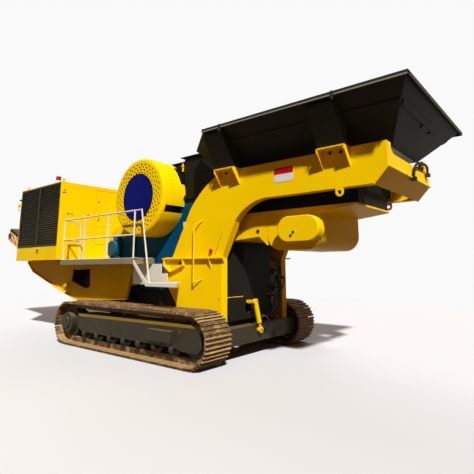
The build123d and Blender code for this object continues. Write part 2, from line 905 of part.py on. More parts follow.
def hopper_side():
    """Flared side wall with an angle round its top edge and a rib along its outside."""
    section = [
        (-hopper_bottom_half_width, hopper_bottom_z),
        (-hopper_bottom_half_width + side_wall_in, hopper_bottom_z),
        (-hopper_rim_half_width + side_wall_in, hopper_rim_z),
        (-hopper_rim_half_width, hopper_rim_z),
    ]
    rib_top_z = hopper_rim_z - hopper_rib_drop
    rib_bottom_z = rib_top_z - hopper_rib_height
    rib = [
        (-side_wall_y(rib_top_z) + side_wall_in / 2, rib_top_z),
        (-side_wall_y(rib_top_z) - hopper_rib_reach, rib_top_z),
        (-side_wall_y(rib_bottom_z) - hopper_rib_reach, rib_bottom_z),
        (-side_wall_y(rib_bottom_z) + side_wall_in / 2, rib_bottom_z),
    ]
    wall = profile_yz(section, hopper_bottom_rear_x, hopper_rim_front_x)
    for rear, front in zip((hopper_bottom_rear_x, *(pair[1] for pair in support_pairs)),
                           (*(pair[0] for pair in support_pairs), hopper_rim_front_x)):
        wall += profile_yz(rib, rear + seat_gap, front - seat_gap)
    ends = [
        (hopper_bottom_rear_x, hopper_bottom_z),
        (hopper_rim_rear_x, hopper_rim_z),
        (hopper_rim_front_x, hopper_rim_z),
        (hopper_bottom_front_x, hopper_bottom_z),
    ]
    wall = wall & profile_xz(ends, -2 * hopper_rim_half_width, 0)
    outer_y = hopper_rim_half_width + rim_bar_width
    bar_x = (hopper_rim_rear_x, hopper_rim_front_x + rim_bar_width)
    lip = box(bar_x, (-outer_y, -hopper_rim_half_width + side_wall_in),
              (hopper_rim_z - rim_plate, hopper_rim_z))
    bar = box(bar_x, (-outer_y, -outer_y + rim_plate), (hopper_rim_z - rim_bar_height, hopper_rim_z))
    return wall + lip + bar


def hopper_end_wall():
    """Flared front wall between the side walls, with its angle and a rib across it."""
    section = [
        (hopper_bottom_front_x, hopper_bottom_z),
        (hopper_rim_front_x, hopper_rim_z),
        (hopper_rim_front_x - front_wall_in, hopper_rim_z),
        (hopper_bottom_front_x - front_wall_in, hopper_bottom_z),
    ]
    rib_top_z = hopper_rim_z - hopper_rib_drop
    rib_bottom_z = rib_top_z - hopper_rib_height
    rib = [
        (front_wall_x(rib_top_z) - front_wall_in / 2, rib_top_z),
        (front_wall_x(rib_top_z) + hopper_rib_reach, rib_top_z),
        (front_wall_x(rib_bottom_z) + hopper_rib_reach, rib_bottom_z),
        (front_wall_x(rib_bottom_z) - front_wall_in / 2, rib_bottom_z),
    ]
    low, high = hopper_bottom_half_width - side_wall_in, hopper_rim_half_width - side_wall_in
    wall = profile_xz(section, -high, high) + profile_xz(rib, -high, high)
    ends = [(-low, hopper_bottom_z), (low, hopper_bottom_z), (high, hopper_rim_z), (-high, hopper_rim_z)]
    wall = wall & profile_yz(ends, 0, 2 * hopper_rim_front_x)
    outer_x = hopper_rim_front_x + rim_bar_width
    lip_half = high - rim_plate * side_run / hopper_height
    lip = box((hopper_rim_front_x - front_wall_in, outer_x), (-lip_half, lip_half),
              (hopper_rim_z - rim_plate, hopper_rim_z))
    return wall + lip + box((outer_x - rim_plate, outer_x), (-high, high),
                            (hopper_rim_z - rim_bar_height, hopper_rim_z))


nodes["hopper_side_near"] = hopper_side()
nodes["hopper_side_far"] = far(nodes["hopper_side_near"])
nodes["hopper_end_wall"] = hopper_end_wall()


def hopper_strut(x_range):
    """Wide folded strut from its seat on the arm up to the hopper's side."""
    rear, front = x_range
    plate = -frame_half_width
    low_z = goose_top_z + support_rise_above_arm + seat_gap
    bend_z = low_z + strut_bend_rise
    join_z = hopper_rim_z - strut_join_drop
    top_z = hopper_rim_z - rim_bar_height - strut_head_drop
    points = [
        (plate - strut_reach[0], low_z),
        (plate - strut_reach[1], low_z),
        (plate - strut_reach[1], bend_z),
        (-side_wall_y(top_z) - strut_head_reach, top_z - strut_head_depth),
        (-side_wall_y(top_z) - strut_head_reach, top_z),
        (-side_wall_y(top_z) - seat_gap, top_z),
        (-side_wall_y(join_z) - seat_gap, join_z),
    ]
    strut = profile_yz(points, rear, front)
    outline = Face(Wire.make_polygon([(rear + strut_wall, y, z) for y, z in points], close=True))
    inside = offset(outline, amount=-strut_wall)
    return strut - extrude(inside, amount=front - rear - 2 * strut_wall, dir=(1, 0, 0))


nodes["hopper_struts"] = both_sides([hopper_strut(pair) for pair in support_pairs])

# Feeder
pan_half_width = hopper_bottom_half_width
pan_bottom_z = hopper_bottom_z - pan_depth
pan_floor_z = hopper_bottom_z - pan_floor_depth
crusher_lip_z = pan_floor_z - crusher_lip_drop


def feeder_pan():
    """Open trough below the hopper, its floor falling towards the crusher, on four mounts."""
    lip_z = crusher_lip_z + seat_gap
    outer = [(crusher_front_x, lip_z), (pan_rear_x, lip_z), (pan_rear_x, hopper_bottom_z),
             (pan_front_x, hopper_bottom_z), (pan_front_x, pan_bottom_z), (pan_taper_x, pan_bottom_z)]
    open_z = hopper_bottom_z + cut_margin
    inner = [(pan_rear_x - cut_margin, pan_floor_z), (pan_rear_x - cut_margin, open_z),
             (pan_front_x - pan_wall, open_z), (pan_front_x - pan_wall, pan_floor_z + pan_floor_rise)]
    side = pan_half_width
    pan = profile_xz(outer, -side, side) - profile_xz(inner, -side + pan_wall, side - pan_wall)
    mount_z = goose_bottom_z + mount_rise
    for x in mount_stations:
        for low, high in ((-chassis_inside, -side), (side, chassis_inside)):
            pan += box(around(x, mount_length), (low, high), (mount_z, mount_z + mount_height))
    return pan


nodes["feeder_pan"] = feeder_pan()

exciter_top_z = pan_bottom_z - exciter_drop
underframe_bottom_z = pan_bottom_z - underframe_depth


def feeder_underframe():
    """Plated frame below the trough, deeper behind the exciter, hollow inside."""
    points = [(underframe_rear_x, pan_bottom_z), (underframe_rear_x, underframe_bottom_z)]
    points += [(x, underframe_bottom_z + rise) for x, rise in underframe_bend]
    points += [(underframe_bend[-1][0], exciter_top_z), (exciter_front_x, exciter_top_z)]
    points += [(pan_front_x, pan_bottom_z - underframe_nose_depth), (pan_front_x, pan_bottom_z)]
    half = underframe_half_width
    outside = profile_xz(points, -half, half)
    outline = Face(Wire.make_polygon([(x, -half + pan_wall, z) for x, z in points], close=True))
    inside = offset(outline, amount=-pan_wall)
    return outside - extrude(inside, amount=2 * (half - pan_wall), dir=(0, 1, 0))


nodes["feeder_underframe"] = feeder_underframe()


def rounded_below(x_range, y_range, z_range, corner):
    """Box with its lower edges rounded across the machine."""
    body = box(x_range, y_range, z_range)
    return fillet(body.edges().filter_by(Axis.Y).group_by(Axis.Z)[0], corner)


def feeder_exciter():
    """Round-bottomed housing across the machine, hollow inside, with an oval cover at its near end."""
    half, wall = exciter_half_width, exciter_wall
    z_range = (exciter_top_z - exciter_height, exciter_top_z)
    body = rounded_below((exciter_rear_x, exciter_front_x), (-half, half), z_range, exciter_corner)
    hollow = rounded_below((exciter_rear_x + wall, exciter_front_x - wall), (-half + wall, half - wall),
                           (z_range[0] + wall, z_range[1] - wall), exciter_corner - wall)
    centre_z = pan_bottom_z - cover_centre_drop
    plane = Plane(origin=(cover_centre_x, -half + weld_overlap, centre_z), x_dir=(1, 0, 0), z_dir=(0, -1, 0))
    cover = extrude(plane * SlotOverall(cover_length, cover_height), amount=cover_reach)
    cover = chamfer(cover.faces().sort_by(Axis.Y)[0].edges(), cover_flange_plate / 2)
    return body - hollow + cover


nodes["feeder_exciter"] = feeder_exciter()


def bypass_chute():
    """Chute below the front of the feeder, its near side turned in, with an apron plate below."""
    near_y, fold_y = chute_side_gap - frame_half_width, chute_fold_inset - frame_half_width
    far_y = frame_half_width - chute_far_inset
    outline = [(crusher_front_x, near_y), (chute_fold_x, near_y), (chute_front_x, fold_y),
               (chute_front_x, far_y), (crusher_front_x, far_y)]
    top_z = underframe_bottom_z - seat_gap
    section = Face(Wire.make_polygon([(x, y, chute_bottom_z) for x, y in outline], close=True))
    chute = extrude(section, amount=top_z - chute_bottom_z, dir=(0, 0, 1))
    apron = box((chute_front_x - apron_plate, chute_front_x), (near_y, far_y),
                (chute_bottom_z - apron_height, chute_bottom_z + weld_overlap))
    notch = along_x(apron_notch_radius, apron_notch_y, chute_bottom_z - apron_height / 2,
                    chute_front_x - apron_plate - cut_margin, chute_front_x + cut_margin)
    return chute + (apron - notch)


nodes["bypass_chute"] = bypass_chute()


# Jaw crusher
def crusher_cheek():
    """Side plate with a bearing hump, feet on the chassis and two upright ribs."""
    foot_z = chassis_top_z
    belly_rear, belly_front = crusher_belly_x
    chamfer_x, chamfer_z = crusher_front_chamfer
    shoulder_x, shoulder_z = (bearing_hump * share for share in bearing_shoulder)
    points = [(crusher_rear_x, foot_z), (crusher_rear_x + crusher_foot_length[0], foot_z)]
    points += [(belly_rear, crusher_bottom_z), (belly_front, crusher_bottom_z)]
    points += [(crusher_front_x - crusher_foot_length[1], foot_z), (crusher_front_x, foot_z)]
    points += [(crusher_front_x, crusher_top_z - chamfer_z), (crusher_front_x - chamfer_x, crusher_top_z)]
    points += [(shaft_x + bearing_hump, crusher_top_z), (shaft_x + shoulder_x, shaft_z + shoulder_z)]
    points += [(shaft_x, shaft_z + bearing_hump), (shaft_x - shoulder_x, shaft_z + shoulder_z)]
    points += [(shaft_x - bearing_hump - bearing_slope[0], crusher_top_z - bearing_slope[1])]
    points += [(crusher_rear_x, crusher_rear_top_z)]
    cheek = profile_xz(points, -cheek_outer_y, -cheek_outer_y + cheek_plate)
    for x in cheek_ribs:
        cheek += box(around(x, cheek_rib_plate), (-cheek_outer_y - cheek_rib_reach, -cheek_outer_y),
                     (foot_z, crusher_rear_top_z))
    return cheek - across(shaft_radius + pin_clearance, shaft_x, shaft_z,
                          -cheek_outer_y - cut_margin, -cheek_outer_y + cheek_plate + cut_margin)


def crusher_frame():
    """Two cheeks joined by the front wall and the rear beam."""
    inside = (-cheek_outer_y + cheek_plate, cheek_outer_y - cheek_plate)
    front = box((crusher_front_x - crusher_wall, crusher_front_x), inside, (chassis_top_z, crusher_lip_z))
    rear = box((crusher_rear_x, crusher_rear_x + crusher_rear_wall), inside, (chassis_top_z, crusher_rear_top_z))
    cheek = crusher_cheek()
    return cheek + far(cheek) + front + rear


jaw_half_width = cheek_outer_y - cheek_plate - jaw_side_clearance


def swing_jaw():
    """Jaw that hangs from the eccentric shaft, its face sloping to the discharge."""
    points = [(shaft_x - jaw_head[0], shaft_z + jaw_head[1]), (shaft_x + jaw_head[0], shaft_z + jaw_head[1])]
    points += [(shaft_x + jaw_shoulder[0], shaft_z - jaw_shoulder[1]), *jaw_toe, *jaw_back]
    jaw = profile_xz(points, -jaw_half_width, jaw_half_width)
    return jaw - across(shaft_radius + pin_clearance, shaft_x, shaft_z, -cheek_outer_y, cheek_outer_y)


def fixed_jaw_plate():
    back_x = crusher_front_x - crusher_wall
    return box((back_x - jaw_plate, back_x), (-jaw_half_width, jaw_half_width),
               (chassis_top_z, crusher_lip_z))


nodes["crusher_frame"] = crusher_frame()
nodes["swing_jaw"] = swing_jaw()
nodes["fixed_jaw_plate"] = fixed_jaw_plate()


def eccentric_shaft():
    """Shaft through both cheeks with a dished flywheel on each end."""
    outer_y = guard_face_y - flywheel_clearance
    low, high = -outer_y, -outer_y + flywheel_width
    wheel = across(flywheel_radius, shaft_x, shaft_z, low, high)
    for face_low, face_high in ((low, low + flywheel_dish), (high - flywheel_dish, high)):
        wheel -= across(flywheel_radius * flywheel_rim_share, shaft_x, shaft_z, face_low, face_high)
        wheel += across(shaft_radius * 2, shaft_x, shaft_z, face_low, face_high)
    return across(shaft_radius, shaft_x, shaft_z, -outer_y, outer_y) + wheel + far(wheel)


nodes["eccentric_shaft"] = eccentric_shaft()


def drum_section(radius, depth, edge_round):
    """Half section of a drum with a faceted round at its closed edge."""
    centre = (radius - edge_round, depth - edge_round)
    angles = [radians(90 * index / guard_edge_facets) for index in range(guard_edge_facets + 1)]
    edge = [(centre[0] + edge_round * sin(angle), centre[1] + edge_round * cos(angle)) for angle in angles]
    outline = [(0, depth), *edge, (radius, 0), (0, 0)]
    return Face(Wire.make_polygon([(x, 0, z) for x, z in outline], close=True))


def flywheel_guard():
    """Drum over the flywheel, open towards the crusher, with a slot and a notch in its rim."""
    depth = guard_face_y - cheek_outer_y
    inner_round = guard_edge_round - guard_wall
    drum = revolve(drum_section(guard_radius, depth, guard_edge_round), Axis.Z)
    drum -= revolve(drum_section(guard_radius - guard_wall, depth - guard_wall, inner_round), Axis.Z)
    drum = Pos(shaft_x, -cheek_outer_y, shaft_z) * Rot(90, 0, 0) * drum
    back_y = -cheek_outer_y + cut_margin
    drum -= box(guard_slot_x, (-cheek_outer_y - guard_slot_depth, back_y), guard_slot_z)
    notch = [(shaft_x, shaft_z)]
    for angle in guard_notch_angles:
        notch.append((shaft_x + 2 * guard_radius * cos(radians(angle)),
                      shaft_z + 2 * guard_radius * sin(radians(angle))))
    return drum - profile_xz(notch, -cheek_outer_y - guard_notch_depth, back_y)


nodes["flywheel_guard_near"] = flywheel_guard()
nodes["flywheel_guard_far"] = far(nodes["flywheel_guard_near"])
nodes["guard_discs"] = both_sides(
    [across(guard_radius * guard_disc_share, shaft_x, shaft_z, -guard_face_y - guard_disc_plate, -guard_face_y)]
)


def crusher_throat():
    """Open box that leads from the feeder into the crusher's mouth."""
    half = cheek_outer_y
    top_z = crusher_top_z + throat_height
    outer = box((throat_rear_x, throat_front_x), (-half, half), (crusher_top_z, top_z))
    inner = box((throat_rear_x + throat_wall, throat_front_x + cut_margin),
                (-half + throat_wall, half - throat_wall), (crusher_top_z - cut_margin, top_z + cut_margin))
    flange = box((throat_rear_x - throat_flange, throat_front_x), (-half - throat_flange, half + throat_flange),
                 (top_z - throat_wall, top_z))
    band_reach = half + throat_band_reach
    band = box((shaft_x + guard_radius + throat_guard_gap, throat_front_x), (-band_reach, band_reach),
               (crusher_top_z, crusher_top_z + throat_band_height))
    return outer + flange + band - inner


nodes["crusher_throat"] = crusher_throat()

# Drive beside the crusher
deck_top_z = chassis_top_z + deck_plate
motor_near_y = motor_side_inset - frame_half_width


def drive_motor():
    """Finned motor on feet, with a smaller cowl at its near end."""
    axis_z = deck_top_z + motor_lift
    back_y = motor_near_y + motor_length
    cowl_y = motor_near_y + motor_cowl_length
    motor = across(motor_radius - motor_fin_height, motor_x, axis_z, cowl_y, back_y)
    motor += across(motor_radius - motor_cowl_shrink, motor_x, axis_z, motor_near_y, cowl_y)
    for index in range(motor_fin_count):
        angle = 360 * (index + 0.5) / motor_fin_count
        fin = box((0, motor_radius), (cowl_y, back_y), around(0, motor_fin_plate))
        motor += Pos(motor_x, 0, axis_z) * Rot(0, angle, 0) * fin
    foot = box(around(motor_x, 2 * motor_foot_half), (cowl_y, back_y),
               (deck_top_z, deck_top_z + motor_foot_plate))
    return motor + foot


def drive_cover():
    """Round-topped cover on the deck that the motor is flanged to."""
    centre_z = deck_top_z + drive_cover_rise
    low_y = motor_near_y + motor_length + seat_gap
    y_range = (low_y, low_y + drive_cover_width)
    cover = across(drive_cover_radius, drive_cover_x, centre_z, *y_range)
    cover += box(around(drive_cover_x, 2 * drive_cover_radius), y_range, (deck_top_z, centre_z))
    below = box(around(drive_cover_x, 4 * drive_cover_radius), y_range,
                (deck_top_z - drive_cover_radius, deck_top_z))
    return cover - below


nodes["drive_motor"] = drive_motor()
nodes["drive_cover"] = drive_cover()


# Power pack
pack_base_top_z = chassis_top_z + pack_base_height
pack_top_z = pack_base_top_z + pack_height
door_bottom_z = pack_base_top_z + door_sill
door_top_z = door_bottom_z + door_height
grille_bottom_z = pack_base_top_z + grille_sill
grille_top_z = pack_top_z - grille_head


def lifting_eye(x, y, z):
    """Eye of plate that stands along the machine."""
    y_range = around(y, pack_eye_plate)
    eye = across(pack_eye_radius, x, z + pack_eye_radius, *y_range)
    eye += box(around(x, 2 * pack_eye_radius), y_range, (z - weld_overlap, z + pack_eye_radius))
    return eye - across(pack_eye_hole, x, z + pack_eye_radius, y_range[0] - cut_margin, y_range[1] + cut_margin)


def power_pack_base():
    """Open frame that carries the housing on the chassis sides."""
    base = box((pack_rear_x, pack_front_x), (-pack_half_width, pack_half_width),
               (chassis_top_z, pack_base_top_z))
    beam = pack_base_beam
    bay_length = (pack_front_x - pack_rear_x - 3 * beam) / 2
    bay_width = (2 * pack_half_width - 3 * beam) / 2
    for x in (pack_rear_x + beam, pack_rear_x + 2 * beam + bay_length):
        for y in (-pack_half_width + beam, beam / 2):
            base -= box((x, x + bay_length), (y, y + bay_width),
                        (chassis_top_z - cut_margin, pack_base_top_z + cut_margin))
    return base


nodes["power_pack_base"] = power_pack_base()

door_half = door_width / 2
door_opening_half = door_half + door_clearance
hinge_x = pack_front_x + hinge_offset
hinge_y = door_opening_half + hinge_edge
hinge_stations = [door_bottom_z + door_height * share for share in hinge_shares]
arm_x = (hinge_x - hinge_radius + hinge_arm_lap, hinge_x + 2 * hinge_arm_lap)


def power_pack_housing():
    """Sheet housing with side recesses for the grilles, a bay behind the door and four lifting eyes."""
    front, rear = pack_front_x, pack_rear_x
    housing = box((rear, front), (-pack_half_width, pack_half_width), (pack_base_top_z, pack_top_z))
    inside = pack_half_width - grille_depth - pack_wall
    bay_rear_x = front - bay_depth
    stop_half = door_half - door_stop
    face_wall = door_plate + door_clearance + pack_wall
    room_z = (pack_base_top_z + pack_wall, pack_top_z - pack_wall)
    housing -= box((rear + pack_wall, front - face_wall), (-inside, inside), room_z)
    housing += box((bay_rear_x - pack_wall, front - face_wall + weld_overlap),
                   (-stop_half - pack_wall, stop_half + pack_wall),
                   (room_z[0] - weld_overlap, room_z[1] + weld_overlap))
    housing -= box((bay_rear_x, front + cut_margin), (-stop_half, stop_half),
                   (door_bottom_z + door_stop, door_top_z - door_stop))
    housing -= box((front - door_plate - door_clearance, front + cut_margin),
                   (-door_opening_half, door_opening_half),
                   (door_bottom_z - door_clearance, door_top_z + door_clearance))
    for low in (-pack_half_width - cut_margin, pack_half_width - grille_depth):
        housing -= box((rear + grille_margin, front - grille_margin), (low, low + grille_depth + cut_margin),
                       (grille_bottom_z, grille_top_z))
    for z in hinge_stations:
        heights = (z, z + hinge_knuckle)
        housing += box((front, front + leaf_plate), (hinge_y, hinge_y + leaf_length), heights)
        housing += box(arm_x, (hinge_y - hinge_arm_lap, hinge_y + leaf_plate), heights)
        housing += upright(hinge_radius, hinge_x, hinge_y, *heights)
        housing += upright(hinge_pin_radius, hinge_x, hinge_y, z, z + 2 * hinge_knuckle)
    eye_y = pack_half_width - pack_eye_inset
    for x in (rear + pack_eye_inset, front - pack_eye_inset):
        for y in (-eye_y, eye_y):
            housing += lifting_eye(x, y, pack_top_z)
    return housing


nodes["power_pack_housing"] = power_pack_housing()


def service_door():
    """Door in the housing's front, on two lift-off hinges at its far edge, with a handle."""
    front = pack_front_x
    door = box((front - door_plate, front), (-door_half, door_half), (door_bottom_z, door_top_z))
    for z in hinge_stations:
        heights = (z + hinge_knuckle + hinge_knuckle_gap, z + 2 * hinge_knuckle)
        door += box((front - weld_overlap, front + leaf_plate), (door_half - leaf_length, door_half), heights)
        door += box(arm_x, (door_half - leaf_plate, hinge_y + hinge_arm_lap), heights)
        door += upright(hinge_radius, hinge_x, hinge_y, *heights)
        door -= upright(hinge_pin_radius + pin_clearance, hinge_x, hinge_y,
                        heights[0] - cut_margin, heights[1] + cut_margin)
    handle_y = around(-door_half + handle_inset, handle_width)
    low_z = door_bottom_z + handle_rise
    high_z = low_z + handle_height
    for z in (low_z, high_z - handle_foot):
        door += box((front - weld_overlap, front + handle_reach), handle_y, (z, z + handle_foot))
    return door + box((front + handle_reach - handle_grip, front + handle_reach), handle_y, (low_z, high_z))


nodes["service_door"] = service_door()


def radiator_grille():
    """Two columns of tilted blades in a frame with a back plate."""
    rear, front = pack_rear_x + grille_margin, pack_front_x - grille_margin
    back_y, face_y = -pack_half_width + grille_depth, -pack_half_width
    low_z, high_z = grille_bottom_z + grille_frame, grille_top_z - grille_frame
    grille = box((rear, front), (face_y, back_y), (grille_bottom_z, grille_top_z))
    back = box((rear, front), (back_y - grille_back_plate, back_y), (grille_bottom_z, grille_top_z))
    middle_rear, middle_front = around((rear + front) / 2, grille_frame)
    for bay in ((rear + grille_frame, middle_rear), (middle_front, front - grille_frame)):
        grille -= box(bay, (face_y - cut_margin, back_y + cut_margin), (low_z, high_z))
    blade_count = int((high_z - low_z) / blade_pitch)
    blades = []
    for index in range(blade_count):
        face_z = low_z + (index + 0.5) * blade_pitch - blade_rise / 2
        back_z = face_z + blade_rise
        points = [(face_y + blade_inset, face_z), (face_y + blade_inset, face_z + blade_plate),
                  (back_y - blade_inset, back_z + blade_plate), (back_y - blade_inset, back_z)]
        blades.append(profile_yz(points, rear + grille_frame / 2, front - grille_frame / 2))
    return grille.fuse(back, *blades)


nodes["radiator_grilles"] = both_sides([radiator_grille()])


def beacon():
    """Flat-topped lens on a wider base."""
    place = Pos(pack_front_x - beacon_inset[0], -pack_half_width + beacon_inset[1], pack_top_z)
    base = extrude(RegularPolygon(beacon_base_radius, beacon_sides), amount=beacon_base_height)
    lens = extrude(RegularPolygon(beacon_lens_radius, beacon_sides),
                   amount=beacon_base_height + beacon_lens_height)
    return place * (base + lens)


nodes["beacon"] = beacon()

# Walkways
walkway_top_z = chassis_top_z - walkway_drop
walkway_inner_y = frame_half_width + chassis_flange_width


def walkway():
    """Tray with a grating floor: an edge strip all round and the floor raised above its underside."""
    x_range, y_range = (walkway_rear_x, walkway_front_x), (-walkway_outer_y, -walkway_inner_y)
    tray = box(x_range, y_range, (walkway_top_z - walkway_depth, walkway_top_z))
    inner_x = (walkway_rear_x + walkway_edge, walkway_front_x - walkway_edge)
    inner_y = (-walkway_outer_y + walkway_edge, -walkway_inner_y - walkway_edge)
    below_floor = (walkway_top_z - walkway_depth - cut_margin, walkway_top_z - walkway_floor)
    return tray - box(inner_x, inner_y, below_floor)


nodes["walkways"] = both_sides([walkway()])

step_top_z = walkway_top_z - step_drop


def handrail():
    """Posts and rails along the walkway, a hoop across its rear end and a hand tube down to the step."""
    y = -walkway_outer_y + rail_radius + rail_inset
    top_z, mid_z = walkway_top_z + rail_height, walkway_top_z + rail_mid_height
    first_x, last_x = walkway_rear_x + rail_post_inset[0], walkway_front_x - rail_post_inset[1]
    spacing = (last_x - first_x) / (rail_post_count - 1)
    foot_x = step_rear_x + 2 * rail_radius
    foot = (foot_x, y, step_top_z + rail_foot_rise)
    pieces = [tube_path([(first_x, y, top_z), (rail_bend_x, y, top_z), foot], rail_radius)]
    foot_y = y + rail_foot_radius - rail_radius
    pieces.append(upright(rail_foot_radius, foot_x, foot_y, step_top_z, step_top_z + rail_foot_height))
    pieces.append(tube_path([(first_x, y, mid_z), (last_x, y, mid_z)], rail_radius))
    for index in range(rail_post_count):
        x = first_x + index * spacing
        pieces.append(tube_path([(x, y, walkway_top_z), (x, y, top_z)], rail_radius))
    hoop_y = -rail_hoop_y
    hoop = [(first_x, y - rail_radius, top_z)]
    for index in range(rail_hoop_bends + 1):
        angle = pi / 2 * index / rail_hoop_bends
        hoop.append((first_x, hoop_y - rail_hoop_corner * (1 - sin(angle)),
                     top_z - rail_hoop_corner * (1 - cos(angle))))
    pieces.append(tube_path([*hoop, (first_x, hoop_y, walkway_top_z)], rail_radius))
    pieces.append(tube_path([(first_x, y, mid_z), (first_x, hoop_y, mid_z)], rail_radius))
    return pieces[0].fuse(*pieces[1:])


nodes["handrails"] = both_sides([handrail()])


def step():
    """Tread with a skewed end, hung below the walkway by a back plate and a sloping stringer."""
    outer, inner = -walkway_outer_y, -frame_half_width - leg_shelf_reach - seat_gap
    outline = [(step_rear_x, outer), (step_front_x, outer), (step_front_x - step_front_skew, inner)]
    outline = [(x, y, step_top_z - step_depth) for x, y in (*outline, (step_rear_x, inner))]
    tread = extrude(Face(Wire.make_polygon(outline, close=True)), amount=step_depth, dir=(0, 0, 1))
    low_z = walkway_top_z - walkway_depth
    bottom_z = step_top_z - step_depth
    back_rear_x, back_front_x = step_back_x
    back = profile_xz(
        [
            (back_rear_x, bottom_z),
            (back_rear_x, low_z - seat_gap),
            (back_front_x, low_z - seat_gap),
            (back_front_x, bottom_z + step_back_arm_height),
            (step_rear_x + weld_overlap, bottom_z + step_back_arm_height),
            (step_rear_x + weld_overlap, bottom_z),
        ],
        inner - step_back_plate, inner,
    )
    stringer = profile_xz(
        [
            (walkway_front_x + seat_gap, low_z),
            (walkway_front_x + seat_gap, low_z + 2 * step_stringer),
            (step_rear_x + weld_overlap, step_top_z),
            (step_rear_x + weld_overlap, bottom_z),
            (step_rear_x - step_stringer, bottom_z),
        ],
        outer, outer + step_back_plate,
    )
    return tread + back + stringer


nodes["steps"] = both_sides([step()])

# Main conveyor
bend_z = under_beam_top_z + stringer_depth - belt_line_depth
slope_angle = atan2(conveyor_slope, 1)


def line_point(x, height):
    """Point at a height above the belt's centre line, square to it, with a mitre at the bend."""
    if x > conveyor_bend_x:
        return x, bend_z + height
    if x == conveyor_bend_x:
        return x + height * sin(slope_angle / 2) / cos(slope_angle / 2), bend_z + height
    z = bend_z + conveyor_slope * (conveyor_bend_x - x)
    return x + height * sin(slope_angle), z + height * cos(slope_angle)


def conveyor_band(upper, lower, tail_x, head_x, y_low, y_high):
    """Strip along the conveyor between two heights about the belt's centre line."""
    stations = (tail_x, conveyor_bend_x, head_x)
    points = [line_point(x, upper) for x in stations] + [line_point(x, lower) for x in reversed(stations)]
    return profile_xz(points, y_low, y_high)


def conveyor_frame():
    """Two deep stringers with ties and loading boards, hung from the chassis sides."""
    upper, lower = belt_line_depth, belt_line_depth - stringer_depth
    side = conveyor_half_width
    tail, head = conveyor_tail_x + conveyor_end, conveyor_head_x - conveyor_end
    frame = [
        conveyor_band(upper, lower, tail, head, -side, -side + stringer_plate),
        conveyor_band(upper, lower, tail, head, side - stringer_plate, side),
    ]
    board_z = (line_point(skirt_board_x[1], upper)[1] - weld_overlap, skirt_board_top_z)
    for low in (-side, side - stringer_plate):
        frame.append(box(skirt_board_x, (low, low + stringer_plate), board_z))
    for x in conveyor_ties:
        centre = line_point(x, lower + conveyor_tie_rise)
        frame.append(many_sided(conveyor_tie_radius, tube_sides, *centre,
                                -side + weld_overlap, side - weld_overlap))
    hanger_z = around(line_point(hanger_x, 0)[1], hanger_height)
    for low, high in ((-chassis_inside, -side + weld_overlap), (side - weld_overlap, chassis_inside)):
        frame.append(box(around(hanger_x, hanger_length), (low, high), hanger_z))
    return frame[0].fuse(*frame[1:])


nodes["conveyor_frame"] = conveyor_frame()


def conveyor_hood():
    """Folded dust hood on the stringers at the head end."""
    side = conveyor_half_width
    low, high = belt_line_depth + seat_gap, belt_line_depth + hood_skirt
    section = [line_point(hood_x[1], low), line_point(hood_x[1], high)]
    section += [line_point(hood_x[0], high), line_point(hood_x[0], low)]
    outside = profile_xz(section, -side, side)
    reach = hood_x[1] - hood_x[0]
    cut = [line_point(hood_x[1] + reach, low - hood_plate), line_point(hood_x[1] + reach, high - hood_plate)]
    cut += [line_point(hood_x[0] - reach, high - hood_plate), line_point(hood_x[0] - reach, low - hood_plate)]
    return outside - profile_xz(cut, -side + hood_plate, side - hood_plate)


nodes["conveyor_hood"] = conveyor_hood()


def belt_loop(radius):
    body = conveyor_band(radius, -radius, conveyor_tail_x, conveyor_head_x, -belt_half_width, belt_half_width)
    for x in (conveyor_tail_x, conveyor_head_x):
        body += across(radius, *line_point(x, 0), -belt_half_width, belt_half_width)
    return body


nodes["conveyor_belt"] = belt_loop(drum_radius + belt_thickness) - belt_loop(drum_radius)


def conveyor_roller(x, height, radius, sides, pin_radius):
    """Roller with a shaft that ends at the stringers, its sides square to the belt."""
    inside = conveyor_half_width - stringer_plate
    centre = line_point(x, height)
    tilt = 0 if x > conveyor_bend_x else degrees(slope_angle)
    body = many_sided(radius, sides, *centre, -belt_half_width, belt_half_width, tilt)
    return body + many_sided(pin_radius, carry_roller_sides, *centre, -inside, inside)


def conveyor_rollers():
    """Head and tail drums, and carrying rollers between them under the upper run."""
    length = conveyor_tail_x - conveyor_head_x
    count = int(length / carry_roller_spacing)
    drum_inside = (drum_radius - seat_gap) * cos(pi / drum_sides)
    pieces = [conveyor_roller(x, 0, drum_inside, drum_sides, drum_shaft_radius)
              for x in (conveyor_tail_x, conveyor_head_x)]
    carry_height = drum_radius - seat_gap - carry_roller_radius
    for index in range(1, count):
        x = conveyor_tail_x - index * length / count
        pieces.append(conveyor_roller(x, carry_height, carry_roller_radius, carry_roller_sides,
                                      roller_pin_radius))
    return group(pieces)


nodes["conveyor_rollers"] = conveyor_rollers()


def hydraulic_cylinder():
    """Slanting cylinder between a lug on the apron plate and a lug on the front cross box."""
    def at(point):
        return cylinder_x, *point

    cylinder = rod(at(cylinder_top), at(cylinder_gland), cylinder_radius)
    cylinder += rod(at(cylinder_gland), at(cylinder_foot), cylinder_rod_radius)
    for (y, z), carrier_x in ((cylinder_top, chute_front_x), (cylinder_foot, front_box_x[1])):
        cylinder += along_x(cylinder_eye_radius, y, z, *around(cylinder_x, cylinder_eye_width))
        lug_z = around(z, cylinder_eye_radius)
        cylinder += box((carrier_x + seat_gap, cylinder_x), around(y, cylinder_eye_width), lug_z)
    return cylinder


nodes["hydraulic_cylinder"] = hydraulic_cylinder()


def bounds(parts):
    """Rear and front ends of all the pieces together."""
    boxes = [part.bounding_box() for part in parts]
    return min(b.min.X for b in boxes), max(b.max.X for b in boxes)


rear_end, front_end = bounds(nodes.values())
machine_shift = -(rear_end + front_end) / 2
print("shift", round(machine_shift, 3), "length", round(front_end - rear_end, 1))
for name, part in nodes.items():
    export_step(Pos(machine_shift, 0, 0) * part, f"parts/{name}.step")
